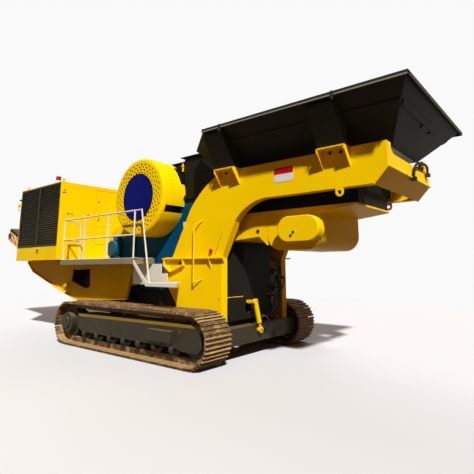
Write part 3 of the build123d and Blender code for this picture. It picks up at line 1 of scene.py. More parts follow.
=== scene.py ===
"""Finishes, fittings and studio for the tracked mobile jaw crusher.

X runs along the machine with the feed hopper at +X, Y across it, Z up from the ground.
Places are given in metres from the middle of the tracks, as at(x, y, z).
"""
import json
from math import atan2, cos, pi, radians, sin, sqrt

import bmesh
import bpy
from bpy.props import FloatProperty, FloatVectorProperty, IntProperty, PointerProperty
from bpy.types import Operator, Panel, PropertyGroup
from mathutils import Matrix, Vector


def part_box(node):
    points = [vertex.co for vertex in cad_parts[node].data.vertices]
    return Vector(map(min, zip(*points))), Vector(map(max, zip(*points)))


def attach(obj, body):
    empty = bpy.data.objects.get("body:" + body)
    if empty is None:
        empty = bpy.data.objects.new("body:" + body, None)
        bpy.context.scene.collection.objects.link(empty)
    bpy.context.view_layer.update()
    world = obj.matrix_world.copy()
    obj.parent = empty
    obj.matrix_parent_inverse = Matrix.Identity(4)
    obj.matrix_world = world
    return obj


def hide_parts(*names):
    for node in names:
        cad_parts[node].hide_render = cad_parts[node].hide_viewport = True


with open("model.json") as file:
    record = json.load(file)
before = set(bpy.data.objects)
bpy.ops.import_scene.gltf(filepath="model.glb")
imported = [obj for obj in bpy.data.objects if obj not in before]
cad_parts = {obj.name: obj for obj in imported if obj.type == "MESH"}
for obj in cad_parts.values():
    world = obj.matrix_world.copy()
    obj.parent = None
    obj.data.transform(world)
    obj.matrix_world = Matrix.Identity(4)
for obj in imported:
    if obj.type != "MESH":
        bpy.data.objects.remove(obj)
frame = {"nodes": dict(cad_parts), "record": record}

bl_info = {
    "name": "Tracked Jaw Crusher",
    "version": (1, 0, 0),
    "blender": (4, 5, 0),
    "location": "View3D > Sidebar > Crusher",
    "description": "Finishes, fittings and studio for a tracked mobile jaw crusher",
    "category": "Object",
}

MACHINE = "machine"
DOOR_LEAF = "service_door_leaf"
SIDES = {"near": -1, "far": 1}
NEARWARD, FORWARD, UPWARD = (0, -1, 0), (1, 0, 0), (0, 0, 1)
# Slots in the record of the coats that only this file has
RECORD_SLOTS = {
    "hopper_shade_lifted_black": "black_paint",
    "mustard_ledge_and_highlight": "yellow_paint",
    "plate_paint": "galvanised",
    "red_paint": "red_lens",
    "stripes": "yellow_paint",
    "bolt_steel": "wear_steel",
    "hose_rubber": "dark_steel",
}
# Bends between two faces that are still shaded as one curve
CAD_SMOOTH, FITTING_SMOOTH = radians(30), radians(35)
# Places that several pieces share: X from the middle of the tracks, Y outward, Z up from the ground
ARM_FACE, CHEEK_FACE, CHUTE_FACE, TRACK_FACE, BELT_FACE = 1.0, 0.8, 2.0, 1.56, 0.6
HOPPER_FACE, HOPPER_RIM, DECK_TOP = 1.53, 3.925, 1.7699
PACK_FRONT, PACK_REAR, PACK_TOP = -2.89, -5.08, 3.70


def span(node):
    """Lowest and highest corner of a piece of the frame."""
    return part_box(node)


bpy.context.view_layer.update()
TRACK_MIDDLE = sum(corner.x for corner in span("track_chain_near")) / 2


def at(x, y, z):
    """Point measured from the middle of the tracks."""
    return Vector((x + TRACK_MIDDLE, y, z))


def around(middle, half):
    """Range that reaches as far to both sides of its middle."""
    return middle - half, middle + half


# Sizes and colours

def colour(name, description, default):
    return FloatVectorProperty(name=name, description=description, default=default,
                               subtype="COLOR", size=3, min=0, max=1)


def length(name, description, default):
    return FloatProperty(name=name, description=description, default=default, unit="LENGTH", min=0)


def dimmed(shade, share):
    """Darker shade of a colour."""
    return tuple(channel * share for channel in shade)


class FinishColours(PropertyGroup):
    """Colours of the paints, metals and rubber."""
    yellow: colour("Yellow", "Enamel of the frames, guards and power pack", (0.95, 0.62, 0.0))
    black: colour("Black", "Satin paint of the chute, throat and hoods", (0.013, 0.012, 0.008))
    # Hopper: the black paint made lighter, painted light that lifts the shade on the hopper's sides and struts
    hopper: colour("Hopper", "Satin paint of the feed hopper, a little greyer", (0.031, 0.032, 0.025))
    blue: colour("Blue", "Enamel of the jaw crusher", (0.0, 0.06, 0.15))
    teal: colour("Teal", "Enamel of the drive motor", (0.002, 0.11, 0.18))
    navy: colour("Navy", "Enamel of the discs on the flywheel guards", (0.0, 0.003, 0.12))
    red: colour("Red", "Beacon, stop button and stripes", (0.55, 0.004, 0.008))
    # Mustard strip on the top edge of each track frame: partly the ledge's yellow, partly a painted highlight
    # along it
    mustard: colour("Mustard", "Faded yellow strip along the track frames", (0.26, 0.17, 0.015))
    white: colour("White", "Plain plates and the beacon's band", (0.72, 0.70, 0.66))
    iron: colour("Iron", "Dark paint of the track frames and castings", (0.021, 0.018, 0.007))
    shoe: colour("Shoe steel", "Brown steel of the track chains", (0.070, 0.038, 0.014))
    zinc: colour("Zinc", "Galvanised rails and steps", (0.72, 0.69, 0.57))
    deck: colour("Deck", "Weathered zinc of the walkways", (0.20, 0.17, 0.105))
    bare: colour("Bare steel", "Worn wear plates and bolts", (0.22, 0.20, 0.17))
    rubber: colour("Rubber", "Belt and hoses", (0.012, 0.011, 0.01))
    dust: colour("Dust", "Stone dust that lies on ledges", (0.44, 0.28, 0.11))
    rust: colour("Rust", "Rust in corners and on worn edges", (0.15, 0.055, 0.018))


class FittingSizes(PropertyGroup):
    """Sizes of the small fittings."""
    bolt: length("Bolt head", "Width across the flats of a frame bolt", 0.036)
    small_bolt: length("Small bolt head", "Width across the flats of a panel bolt", 0.02)
    hole_long: length("Guard hole length", "Length of a hole in the guard's face", 0.060)
    hole_wide: length("Guard hole width", "Width of a hole in the guard's face", 0.034)
    hole_count: IntProperty(name="Guard holes", description="Holes in each ring round the disc",
                            default=32, min=8)
    hole_rings: IntProperty(name="Guard hole rings", description="Rings of holes round the disc",
                            default=4, min=1)
    guard_plate: length("Guard plate", "Thickness of the guard's face", 0.012)
    hose: length("Hose radius", "Radius of a hydraulic hose", 0.014)
    grating_pitch: length("Grating pitch", "Distance between the bars of the walkway grating", 0.045)
    seam: length("Panel seam", "Width of the gaps between the housing's panels", 0.012)


class StageSettings(PropertyGroup):
    """Lamps, floor and backdrop."""
    key: FloatProperty(name="Key lamp", description="Strength of the high lamp in front",
                       default=4.9, min=0)
    fill: FloatProperty(name="Fill light", description="Strength of the light from all round",
                        default=0.13, min=0)
    fill_tint: colour("Fill tint", "Colour of the light from all round", (1.0, 0.55, 0.32))
    floor: colour("Floor", "Colour of the floor that the camera sees", (0.72, 0.72, 0.72))
    floor_bounce: colour("Floor bounce", "Colour of the floor as it lights the machine", (0.12, 0.07, 0.035))
    backdrop: colour("Backdrop", "Colour behind the machine", (0.95, 0.95, 0.95))


GROUPS = (FinishColours, FittingSizes, StageSettings)


def finishes():
    return bpy.context.scene.crusher_finishes


def sizes():
    return bpy.context.scene.crusher_fittings


# Shader nodes

class Value:
    """Output socket of a shader node, on which an expression adds Math nodes."""

    def __init__(self, tree, socket):
        self.tree = tree
        self.socket = socket

    def math(self, operation, *others):
        inputs = dict(enumerate((self, *others)))
        return self.tree.node("ShaderNodeMath", {"operation": operation}, inputs)

    def __add__(self, other):
        return self.math("ADD", other)

    def __mul__(self, other):
        return self.math("MULTIPLY", other)

    def __sub__(self, other):
        return self.math("SUBTRACT", other)

    def __rsub__(self, other):
        return self.tree.node("ShaderNodeMath", {"operation": "SUBTRACT"}, {0: other, 1: self})

    def __gt__(self, other):
        return self.math("GREATER_THAN", other)

    def clipped(self):
        return self.tree.node("ShaderNodeClamp", {}, {0: self})

    __radd__ = __add__
    __rmul__ = __mul__


made_finishes = {}


def finish(name):
    return made_finishes[name]


class Finish:
    """Surface built from nodes, in a material of its own or in a tree that is handed in."""

    def __init__(self, name, tree=None):
        self.name = name
        if tree is None:
            self.material = bpy.data.materials.new(name)
            self.material.use_nodes = True
            tree = self.material.node_tree
        self.nodes, self.links = tree.nodes, tree.links
        self.nodes.clear()

    def node(self, kind, settings=None, inputs=None, output=0):
        """Node of a type, with its settings made first and then the values or links of its sockets."""
        made = self.nodes.new(kind)
        for key, value in (settings or {}).items():
            setattr(made, key, value)
        for key, value in (inputs or {}).items():
            if isinstance(value, Value):
                self.links.new(value.socket, made.inputs[key])
            elif hasattr(value, "__len__") and len(value) == 3 and made.inputs[key].type == "RGBA":
                made.inputs[key].default_value = (*value, 1)
            else:
                made.inputs[key].default_value = value
        return Value(self, made.outputs[output]) if made.outputs else made

    def place(self):
        return self.node("ShaderNodeTexCoord", output="Object")

    def noise(self, place, scale, detail=2.0, roughness=0.5):
        return self.node("ShaderNodeTexNoise", {},
                         {"Vector": place, "Scale": scale, "Detail": detail, "Roughness": roughness})

    def ramp(self, factor, low, high):
        """Value that goes from 0 to 1 between two levels."""
        return self.node("ShaderNodeMapRange", {"interpolation_type": "SMOOTHSTEP"},
                         {"Value": factor, "From Min": low, "From Max": high})

    def mix(self, factor, first, second):
        """Mix of two colours."""
        return self.node("ShaderNodeMix", {"data_type": "RGBA"}, {0: factor, 6: first, 7: second}, 2)

    def part_of(self, vector, axis):
        return self.node("ShaderNodeSeparateXYZ", {}, {0: vector}, output=axis)

    def facing_up(self):
        return self.part_of(self.node("ShaderNodeNewGeometry", output="Normal"), 2)

    def rounded(self, radius):
        """Normal that is rounded over the edges."""
        return self.node("ShaderNodeBevel", {"samples": 4}, {"Radius": radius})

    def edges(self, radius):
        """Mask that is high where the surface bends sharply."""
        flat = self.node("ShaderNodeNewGeometry", output="Normal")
        alike = self.node("ShaderNodeVectorMath", {"operation": "DOT_PRODUCT"},
                          {0: self.rounded(radius), 1: flat}, output="Value")
        return self.ramp(1 - alike, 0.02, 0.22)

    def bump(self, height, distance, normal=None):
        inputs = {"Height": height, "Distance": distance, "Strength": 1.0}
        if normal is not None:
            inputs["Normal"] = normal
        return self.node("ShaderNodeBump", {}, inputs)

    def shade(self, **inputs):
        """Surface of the material, which is then ready under the finish's name."""
        named = {key.replace("_", " "): value for key, value in inputs.items()}
        surface = self.node("ShaderNodeBsdfPrincipled", {}, named)
        self.node("ShaderNodeOutputMaterial", {}, {"Surface": surface})
        made_finishes[self.name] = self.material


# Radius within which an edge is worn, and that of its rounded look; on cast steel the lightened edge is partly
# a painted highlight
WORN_EDGE, ROUNDED_EDGE = 0.012, 0.006


def enamel(name, base, gloss, dirt, chips, coat, shine):
    """Gloss enamel with uneven tone, chipped edges, run marks, and dust on what faces up."""
    paints = finishes()
    shader = Finish(name)
    place = shader.place()
    cloudy = shader.noise(place, 0.9, 4)
    grain = shader.noise(place, 34, 3, 0.6)
    streak_place = shader.node("ShaderNodeMapping", {}, {"Vector": place, "Scale": (9.0, 9.0, 0.7)})
    streaks = shader.ramp(shader.noise(streak_place, 1.4, 4, 0.7), 0.58, 0.82)
    tone = shader.mix(shader.ramp(cloudy, 0.3, 0.7) * 0.3, base, dimmed(base, 0.82))
    grime = tuple(channel * 0.45 + rust * 0.3 for channel, rust in zip(base, paints.rust))
    tone = shader.mix(streaks * (0.3 * dirt), tone, grime)
    dust = shader.ramp(shader.facing_up(), 0.55, 0.95) * shader.ramp(cloudy + grain * 0.5, 0.55, 1.0)
    tone = shader.mix(dust * (0.8 * dirt), tone, paints.dust)
    worn = shader.edges(WORN_EDGE) * shader.ramp(grain + cloudy, 1.0, 1.25)
    tone = shader.mix(worn * chips, tone, paints.rust)
    rough = gloss + dust * 0.4 + worn * 0.3 + grain * 0.06
    normal = shader.bump(grain, 0.0005, shader.rounded(ROUNDED_EDGE))
    shader.shade(Base_Color=tone, Roughness=rough, Normal=normal, Coat_Weight=coat, Coat_Roughness=0.15,
                 Specular_IOR_Level=shine)


def cast_steel(name, base, rust, dust, gloss, metal, caking=0.3, tip=None):
    """Rough dark steel with rust patches, stone dust on top, and bright edges that are partly wear and partly
    a painted highlight.
    """
    paints = finishes()
    shader = Finish(name)
    place = shader.place()
    patches = shader.ramp(shader.noise(place, 3.5, 6, 0.65), 0.42, 0.68)
    grain = shader.noise(place, 48, 4, 0.7)
    caked = shader.ramp(shader.noise(place, 7, 5, 0.7), 0.45, 0.62)
    tone = shader.mix(patches * rust, base, paints.rust)
    tone = shader.mix(shader.ramp(grain, 0.4, 0.75) * 0.5, tone, dimmed(base, 0.5))
    up = shader.ramp(shader.facing_up(), 0.35, 0.9)
    tone = shader.mix((caked * caking + up * 0.9).clipped() * dust, tone, paints.dust)
    # Edges lightened towards bare steel, or to the tone handed in: real wear and a painted highlight together
    worn = shader.edges(WORN_EDGE) * shader.ramp(grain, 0.4, 0.6)
    tone = shader.mix(worn * 0.6, tone, tip or paints.bare)
    rough = gloss + caked * 0.25 + grain * 0.1 - worn * 0.3
    normal = shader.bump(caked * 0.6 + grain * 0.4, 0.003, shader.rounded(ROUNDED_EDGE))
    shader.shade(Base_Color=tone, Roughness=rough.clipped(), Normal=normal, Metallic=metal,
                 Specular_IOR_Level=0.3)


def galvanised(name, base, metal):
    """Zinc with its faint crystal pattern and grey run marks."""
    paints = finishes()
    shader = Finish(name)
    place = shader.place()
    spangle = shader.node("ShaderNodeTexVoronoi", {}, {"Vector": place, "Scale": 60.0}, output="Color")
    flake = shader.part_of(spangle, 0)
    cloudy = shader.noise(place, 2.5, 4)
    tone = shader.mix(flake * 0.25, base, dimmed(base, 0.7))
    tone = shader.mix(shader.ramp(cloudy, 0.5, 0.75) * 0.5, tone, paints.dust)
    rough = flake * 0.16 + cloudy * 0.1 + 0.4
    normal = shader.bump(flake, 0.0002, shader.rounded(0.004))
    shader.shade(Base_Color=tone, Roughness=rough, Normal=normal, Metallic=metal, Specular_IOR_Level=0.2)


def rubber(name, base):
    """Matt rubber, grey with dust where it is rubbed."""
    paints = finishes()
    shader = Finish(name)
    place = shader.place()
    grain = shader.noise(place, 90, 3, 0.7)
    smear = shader.ramp(shader.noise(place, 2.2, 5), 0.42, 0.7)
    up = shader.ramp(shader.facing_up(), 0.3, 0.9)
    tone = shader.mix(smear * (0.12 + up * 0.3), base, paints.dust)
    normal = shader.bump(grain, 0.0008)
    shader.shade(Base_Color=tone, Roughness=grain * 0.15 + 0.72, Normal=normal, Specular_IOR_Level=0.25)


def lens(name, base):
    """Clear coloured moulding with upright flutes."""
    shader = Finish(name)
    place = shader.place()
    mottle = shader.noise(place, 25, 2)
    flutes = shader.node("ShaderNodeTexWave", {"bands_direction": "X"}, {"Vector": place, "Scale": 30.0})
    tone = shader.mix(mottle * 0.4, base, dimmed(base, 0.5))
    shader.shade(Base_Color=tone, Roughness=mottle * 0.08 + 0.2, Normal=shader.bump(flutes, 0.001),
                 Coat_Weight=0.1, Specular_IOR_Level=0.3)


def striped(name):
    """Red and white slanting bands, faded a little."""
    paints = finishes()
    shader = Finish(name)
    place = shader.place()
    slant = shader.part_of(place, 0) * 0.7 + shader.part_of(place, 2) * 0.7
    band = (slant * 7).math("FRACT") > 0.5
    fade = shader.noise(place, 14, 4)
    tone = shader.mix(band, paints.white, paints.red)
    tone = shader.mix(shader.ramp(fade, 0.5, 0.8) * 0.3, tone, paints.dust)
    shader.shade(Base_Color=tone, Roughness=fade * 0.1 + 0.4)


def make_finishes():
    paints = finishes()
    for name, base, gloss, dirt, chips, coat, shine in (
        ("yellow_paint", paints.yellow, 0.42, 0.4, 0.3, 0.0, 0.04),
        ("black_paint", paints.black, 0.5, 0.3, 0.5, 0.0, 0.04),
        ("hopper_shade_lifted_black", paints.hopper, 0.5, 0.3, 0.5, 0.0, 0.04),
        ("blue_paint", paints.blue, 0.4, 0.3, 0.35, 0.0, 0.04),
        ("teal_paint", paints.teal, 0.4, 0.3, 0.35, 0.05, 0.15),
        ("navy_paint", paints.navy, 0.45, 0.05, 0.1, 0.0, 0.05),
        ("red_paint", paints.red, 0.45, 0.05, 0.1, 0.0, 0.1),
        ("mustard_ledge_and_highlight", paints.mustard, 0.5, 0.8, 0.6, 0.0, 0.1),
        ("plate_paint", paints.white, 0.4, 0.2, 0.1, 0.05, 0.2),
        ("grille_paint", paints.iron, 0.45, 0.3, 0.4, 0.0, 0.15),
    ):
        enamel(name, base, gloss, dirt, chips, coat, shine)
    cast_steel("dark_steel", paints.iron, 0.08, 0.3, 0.55, 0.0, 0.08)
    # On the track shoes the edges go to the dust colour: dust, with a painted highlight on the grouser tips
    cast_steel("track_steel", paints.shoe, 0.45, 1.0, 0.55, 0.0, 0.6, paints.dust)
    cast_steel("wear_steel", paints.bare, 0.2, 0.45, 0.4, 0.6)
    cast_steel("bolt_steel", paints.bare, 0.4, 0.2, 0.45, 0.3)
    galvanised("galvanised", paints.zinc, 0.1)
    galvanised("walkway_zinc", paints.deck, 0.05)
    rubber("belt_rubber", paints.rubber)
    rubber("hose_rubber", paints.rubber)
    lens("red_lens", dimmed(paints.red, 0.6))
    striped("stripes")


# Meshes

def turned(axis):
    """Turn that brings Z to an axis."""
    return Vector(axis).to_track_quat("Z", "Y").to_matrix().to_4x4()


def piece(name, coat, *shapes, body=MACHINE, record_slot=None):
    """Object in the machine's own frame that rides on a body.

    Each shape is one of the functions that add to a mesh, with what it takes after the mesh.
    """
    mesh = bmesh.new()
    for shape, *values in shapes:
        shape(mesh, *values)
    data = bpy.data.meshes.new(name)
    bmesh.ops.recalc_face_normals(mesh, faces=mesh.faces)
    mesh.to_mesh(data)
    mesh.free()
    data.shade_smooth()
    data.set_sharp_from_angle(angle=FITTING_SMOOTH)
    data.materials.append(finish(coat))
    made = bpy.data.objects.new(name, data)
    bpy.context.scene.collection.objects.link(made)
    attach(made, body)
    record_slot = record_slot or RECORD_SLOTS.get(coat, coat)
    return made


def bar(mesh, x, y, z, edge=0.0, side=1):
    """Box between ranges of X, Y and Z, with Y outward on a side, its edges broken by a bevel."""
    low_y, high_y = sorted((side * y[0], side * y[1]))
    low, high = at(x[0], low_y, z[0]), at(x[1], high_y, z[1])
    size, middle = high - low, (high + low) / 2
    made = bmesh.ops.create_cube(mesh, size=1)["verts"]
    bmesh.ops.transform(mesh, matrix=Matrix.Translation(middle) @ Matrix.Diagonal((*size, 1)), verts=made)
    if edge:
        rim = list({line for vert in made for line in vert.link_edges})
        bmesh.ops.bevel(mesh, geom=rim, offset=min(edge, min(size) * 0.3), segments=1, affect="EDGES")


def circle(matrix, radius, count, height=0.0, start=0.0):
    """Points on a circle about the Z axis of a matrix."""
    turns = [start + 2 * pi * index / count for index in range(count)]
    return [matrix @ Vector((radius * cos(turn), radius * sin(turn), height)) for turn in turns]


def ring_of(count, radius, centre, axis, start=0.0):
    """Points on a circle about an axis."""
    return circle(Matrix.Translation(centre) @ turned(axis), radius, count, start=start)


def skin(mesh, rings, segments):
    """Faces between rings of vertices, where a ring may be a single point."""
    for lower, upper in zip(rings, rings[1:]):
        for index in range(segments):
            after = (index + 1) % segments
            corners = (lower[index % len(lower)], lower[after % len(lower)],
                       upper[after % len(upper)], upper[index % len(upper)])
            mesh.faces.new(list(dict.fromkeys(corners)))


def lathe(mesh, place, axis, profile, segments=24):
    """Solid of revolution: profile of (radius, height) pairs along an axis from a place."""
    matrix = Matrix.Translation(place) @ turned(axis)
    rings = [[mesh.verts.new(point) for point in circle(matrix, radius, segments if radius else 1, height)]
             for radius, height in profile]
    skin(mesh, rings, segments)


def capped(radius, shoulder, top, height):
    """Profile of a round cap, straight up to its shoulder and narrower at its flat top."""
    return [(radius, 0), (radius, shoulder), (top, height), (0, height)]


def dished(inner, lip, outer, height):
    """Profile of a round plug with a hollow inside its raised lip."""
    return [(0, 0.002), (inner, 0.002), (lip, height), (outer, height), (outer, 0)]


def disc(radius, height):
    """Profile of a flat round plate."""
    return [(0, 0), (radius, 0), (radius, height), (0, height)]


STUD = capped(0.018, 0.006, 0.014, 0.012)


def bolt(mesh, place, axis, flats):
    """Hexagon head with a chamfered top on a round washer."""
    axis = Vector(axis).normalized()
    washer, corner = flats * 0.1, flats / sqrt(3)
    head = [(0, 0), *capped(corner, flats * 0.42, corner * 0.8, flats * 0.52)]
    lathe(mesh, place, axis, disc(flats * 0.82, washer), 12)
    lathe(mesh, Vector(place) + axis * washer, axis, head, 6)


def row_of(count, start, end):
    """Points on a line from start to end."""
    start, end = Vector(start), Vector(end)
    return [start.lerp(end, index / max(count - 1, 1)) for index in range(count)]


def plate(mesh, corners, normal, thickness, edge=0.0):
    """Flat plate with an outline, thickened along its normal."""
    face = mesh.faces.new([mesh.verts.new(Vector(corner)) for corner in corners])
    moved = bmesh.ops.extrude_face_region(mesh, geom=[face])["geom"]
    verts = [item for item in moved if isinstance(item, bmesh.types.BMVert)]
    bmesh.ops.translate(mesh, verts=verts, vec=Vector(normal).normalized() * thickness)
    if edge:
        rim = [line for line in mesh.edges if all(vert in verts for vert in line.verts)]
        bmesh.ops.bevel(mesh, geom=rim, offset=edge, segments=1, affect="EDGES")


def tube(mesh, points, radius, segments=12):
    """Round bar through points, closed at its ends."""
    rings = []
    for index, point in enumerate(points):
        direction = (points[min(index + 1, len(points) - 1)] - points[max(index - 1, 0)]).normalized()
        if rings:
            turn = last.rotation_difference(direction).to_matrix().to_4x4() @ turn
        else:
            turn = turned(direction)
        last = direction
        matrix = Matrix.Translation(point) @ turn
        rings.append([mesh.verts.new(corner) for corner in circle(matrix, radius, segments)])
    skin(mesh, rings, segments)
    mesh.faces.new(list(reversed(rings[0])))
    mesh.faces.new(rings[-1])


def smooth_path(points, steps=8):
    """Curve that passes through points."""
    ends = [points[0] * 2 - points[1], *points, points[-1] * 2 - points[-2]]
    path = []
    for index in range(1, len(ends) - 2):
        a, b, c, d = ends[index - 1:index + 3]
        for step in range(steps):
            t = step / steps
            path.append(0.5 * (2 * b + (c - a) * t + (2 * a - 5 * b + 4 * c - d) * t * t
                               + (3 * b - a - 3 * c + d) * t * t * t))
    return path + [points[-1]]


def hose(mesh, points, radius):
    """Hose with a crimped collar at each end."""
    path = smooth_path(points)
    tube(mesh, path, radius, 10)
    for end, inner in ((path[0], path[1]), (path[-1], path[-2])):
        axis = (inner - end).normalized()
        collar = [(0, 0), (1.7, 0), (1.7, 3), (1.3, 3.4), (0.9, 3.4)]
        lathe(mesh, end, axis, [(radius * wide, radius * high) for wide, high in collar], 12)


def each(places, shape, *values):
    """The same shape at each of some places."""
    return [(shape, place, *values) for place in places]


def both(*bounds):
    """The same bar on both sides of the machine."""
    return [(bar, *bounds, side) for side in SIDES.values()]


# Pieces

class CRUSHER_OT_finishes(Operator):
    """Paint every piece of the frame with the finish of its material slot"""
    bl_idname = "crusher.finishes"
    bl_label = "Finishes"
    # Pieces with a coat of their own; the hopper's pieces take the lightened black, painted light in their
    # shade
    own_coats = {
        "walkways": "walkway_zinc",
        "radiator_grilles": "grille_paint",
        "hopper_side_near": "hopper_shade_lifted_black",
        "hopper_side_far": "hopper_shade_lifted_black",
        "hopper_end_wall": "hopper_shade_lifted_black",
        "hopper_struts": "hopper_shade_lifted_black",
    }

    def execute(self, context):
        make_finishes()
        for part in frame["record"]["subparts"]:
            node = frame["nodes"][part["node"]]
            node.data.materials.clear()
            node.data.materials.append(finish(self.own_coats.get(part["node"], part["material_slot"])))
            node.data.shade_smooth()
            node.data.set_sharp_from_angle(angle=CAD_SMOOTH)
        return {"FINISHED"}


def guard_shape(node):
    """Centre of a guard's outer face, the guard's radius, and the way along Y that the face looks."""
    low, high = span(node)
    outward = -1 if low.y + high.y < 0 else 1
    centre = Vector(((low.x + high.x) / 2, low.y if outward < 0 else high.y, (low.z + high.z) / 2))
    return centre, (high.x - low.x) / 2, outward


class CRUSHER_OT_guards(Operator):
    """Pierce the face of each flywheel guard with rings of oval holes"""
    bl_idname = "crusher.guards"
    bl_label = "Flywheel Guards"
    # Radius of the innermost and outermost ring of holes, as shares of the guard's
    first_ring, last_ring = 0.626, 0.845
    corners = 12

    def execute(self, context):
        for word in SIDES:
            node = "flywheel_guard_" + word
            made = piece(node + "_pierced", "yellow_paint", (self.pierced, node))
            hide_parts(node)
        return {"FINISHED"}

    def pierced(self, mesh, node):
        """A guard of the frame with its holes."""
        size = sizes()
        centre, radius, outward = guard_shape(node)
        mesh.from_mesh(frame["nodes"][node].data)
        bmesh.ops.remove_doubles(mesh, verts=mesh.verts, dist=1e-5)
        front = self.open_plane(mesh, centre.y)
        back = self.open_plane(mesh, centre.y - outward * size.guard_plate)
        first, last = radius * self.first_ring, radius * self.last_ring
        for ring in range(size.hole_rings):
            reach = first + (last - first) * ring / max(size.hole_rings - 1, 1)
            for index in range(size.hole_count):
                turn = 2 * pi * (index + 0.5 * (ring % 2)) / size.hole_count
                rims = self.hole(mesh, centre, outward, reach, turn, size)
                front += rims[0]
                back += rims[1]
        for edges in (front, back):
            bmesh.ops.triangle_fill(mesh, edges=edges, use_beauty=True)

    def open_plane(self, mesh, level):
        """Takes out the flat face at a level across the machine and gives the edges it leaves open."""
        def flat(item):
            return all(abs(vert.co.y - level) < 1e-4 for vert in item.verts)

        bmesh.ops.delete(mesh, geom=[face for face in mesh.faces if flat(face)], context="FACES")
        return [edge for edge in mesh.edges if edge.is_boundary and flat(edge)]

    def hole(self, mesh, centre, outward, reach, turn, size):
        """Wall of an oval hole, long way round the circle, and the edges of its two rims."""
        rings = []
        for depth in (0, size.guard_plate):
            ring = []
            for step in range(self.corners):
                angle = 2 * pi * step / self.corners
                along, out = cos(angle) * size.hole_long / 2, reach + sin(angle) * size.hole_wide / 2
                ring.append(mesh.verts.new((
                    centre.x + out * cos(turn) - along * sin(turn),
                    centre.y - outward * depth,
                    centre.z + out * sin(turn) + along * cos(turn),
                )))
            rings.append(ring)
        skin(mesh, rings, self.corners)
        return [[mesh.edges.get((vert, after)) for vert, after in zip(ring, ring[1:] + ring[:1])]
                for ring in rings]


class CRUSHER_OT_disc_fittings(Operator):
    """Raised edge round the discs of the flywheel guards"""
    bl_idname = "crusher.disc_fittings"
    bl_label = "Guard Discs"

    def execute(self, context):
        low, high = span("guard_discs")
        radius = (high.x - low.x) / 2
        profile = [(radius + out, height) for out, height in (
            (0, -0.0035), (0.006, -0.004), (0.007, 0.002), (0.002, 0.005), (-0.006, 0.004), (-0.008, -0.002))]
        for word in SIDES:
            centre, _, outward = guard_shape("flywheel_guard_" + word)
            face = (centre.x, low.y if outward < 0 else high.y, centre.z)
            piece("disc_trim_" + word, "navy_paint", (lathe, face, (0, outward, 0), profile, 96))
        return {"FINISHED"}


class CRUSHER_OT_crusher_fittings(Operator):
    """Bearing caps, bolts, tension rods and blank plate of the jaw crusher, and the hood over its pitman"""
    bl_idname = "crusher.crusher_fittings"
    bl_label = "Jaw Crusher Fittings"
    shaft_x, shaft_z = 0.093, 2.989

    def execute(self, context):
        for word, side in SIDES.items():
            self.cheek(word, side)
        piece("tension_rods", "dark_steel", *self.rod(-0.42), *self.rod(0.42))
        piece("pitman_hood", "black_paint", *self.hood())
        piece("hood_catch", "yellow_paint",
              (bar, (0.765, 0.797), (-0.80, -0.7745), (3.50, 3.69), 0.004),
              (bar, (0.755, 0.807), (-0.815, -0.79), (3.60, 3.63), 0.004))
        piece("blank_plate", "plate_paint", (bar, (0.84, 0.915), (-0.806, -0.7995), (2.37, 2.47), 0.002))
        return {"FINISHED"}

    def cheek(self, word, side):
        """Cap of the shaft's bearing and the bolts on one cheek plate."""
        flats, axis, y = sizes().bolt, (0, side, 0), side * CHEEK_FACE
        face = at(self.shaft_x, y, self.shaft_z)
        profile = [(0.112, 0), (0.20, 0), (0.20, 0.028), (0.17, 0.045), (0.125, 0.05), (0.112, 0.05)]
        piece("bearing_caps_" + word, "blue_paint", (lathe, face, axis, profile, 48))
        piece("crusher_bolts_" + word, "bolt_steel",
              *each(ring_of(10, 0.185, face + Vector((0, side * 0.03, 0)), axis), bolt, axis, flats * 0.8),
              *each(row_of(4, at(0.86, y, 1.86), at(1.22, y, 1.86)), bolt, axis, flats),
              *each(row_of(5, at(1.2, y, 2.0), at(1.2, y, 2.4)), bolt, axis, flats))

    def rod(self, y):
        """Tension rod with its spring, seat and nut."""
        steps, coils, coil, back = 96, 6, 0.052, (-1, 0, -0.1)
        spring = []
        for share in (index / steps for index in range(steps + 1)):
            turn = share * 2 * pi * coils
            spring.append(at(-1.155 - 0.19 * share, y + coil * cos(turn),
                             1.955 - 0.02 * share + coil * sin(turn)))
        return [(tube, [at(-0.55, y, 2.02), at(-1.38, y, 1.93)], 0.026, 14), (tube, spring, 0.011, 8),
                (lathe, at(-1.345, y, 1.934), back, disc(0.075, 0.02), 20),
                (bolt, at(-1.364, y, 1.932), back, 0.06)]

    def hood(self):
        """Box between the guards behind the throat, its sides ribbed, with a flange under each side."""
        front, rear, rear_top, foot, top, half, sheet = 0.842, 0.34, 0.40, 3.30, 3.705, 0.745, 0.012
        back = [at(rear, -half, foot), at(rear, half, foot), at(rear_top, half, top), at(rear_top, -half, top)]
        shapes = [(plate, back, (-1, 0, 0.15), sheet),
                  (bar, (0.36, 0.841), (-0.78, 0.78), (3.695, 3.715), 0.004),
                  *both((0.80, 1.25), (CHEEK_FACE - 0.0005, 0.85), (2.905, 2.9505), 0.003)]
        for side in SIDES.values():
            y = side * (half - 0.005)
            wall = [at(rear, y, foot), at(front, y, foot), at(front, y, top), at(rear_top, y, top)]
            shapes.append((plate, wall, (0, side, 0), sheet))
        for x in (0.50, 0.70):
            shapes += both(around(x, 0.008), (half, 0.775), (3.32, 3.69), 0.002)
        return shapes


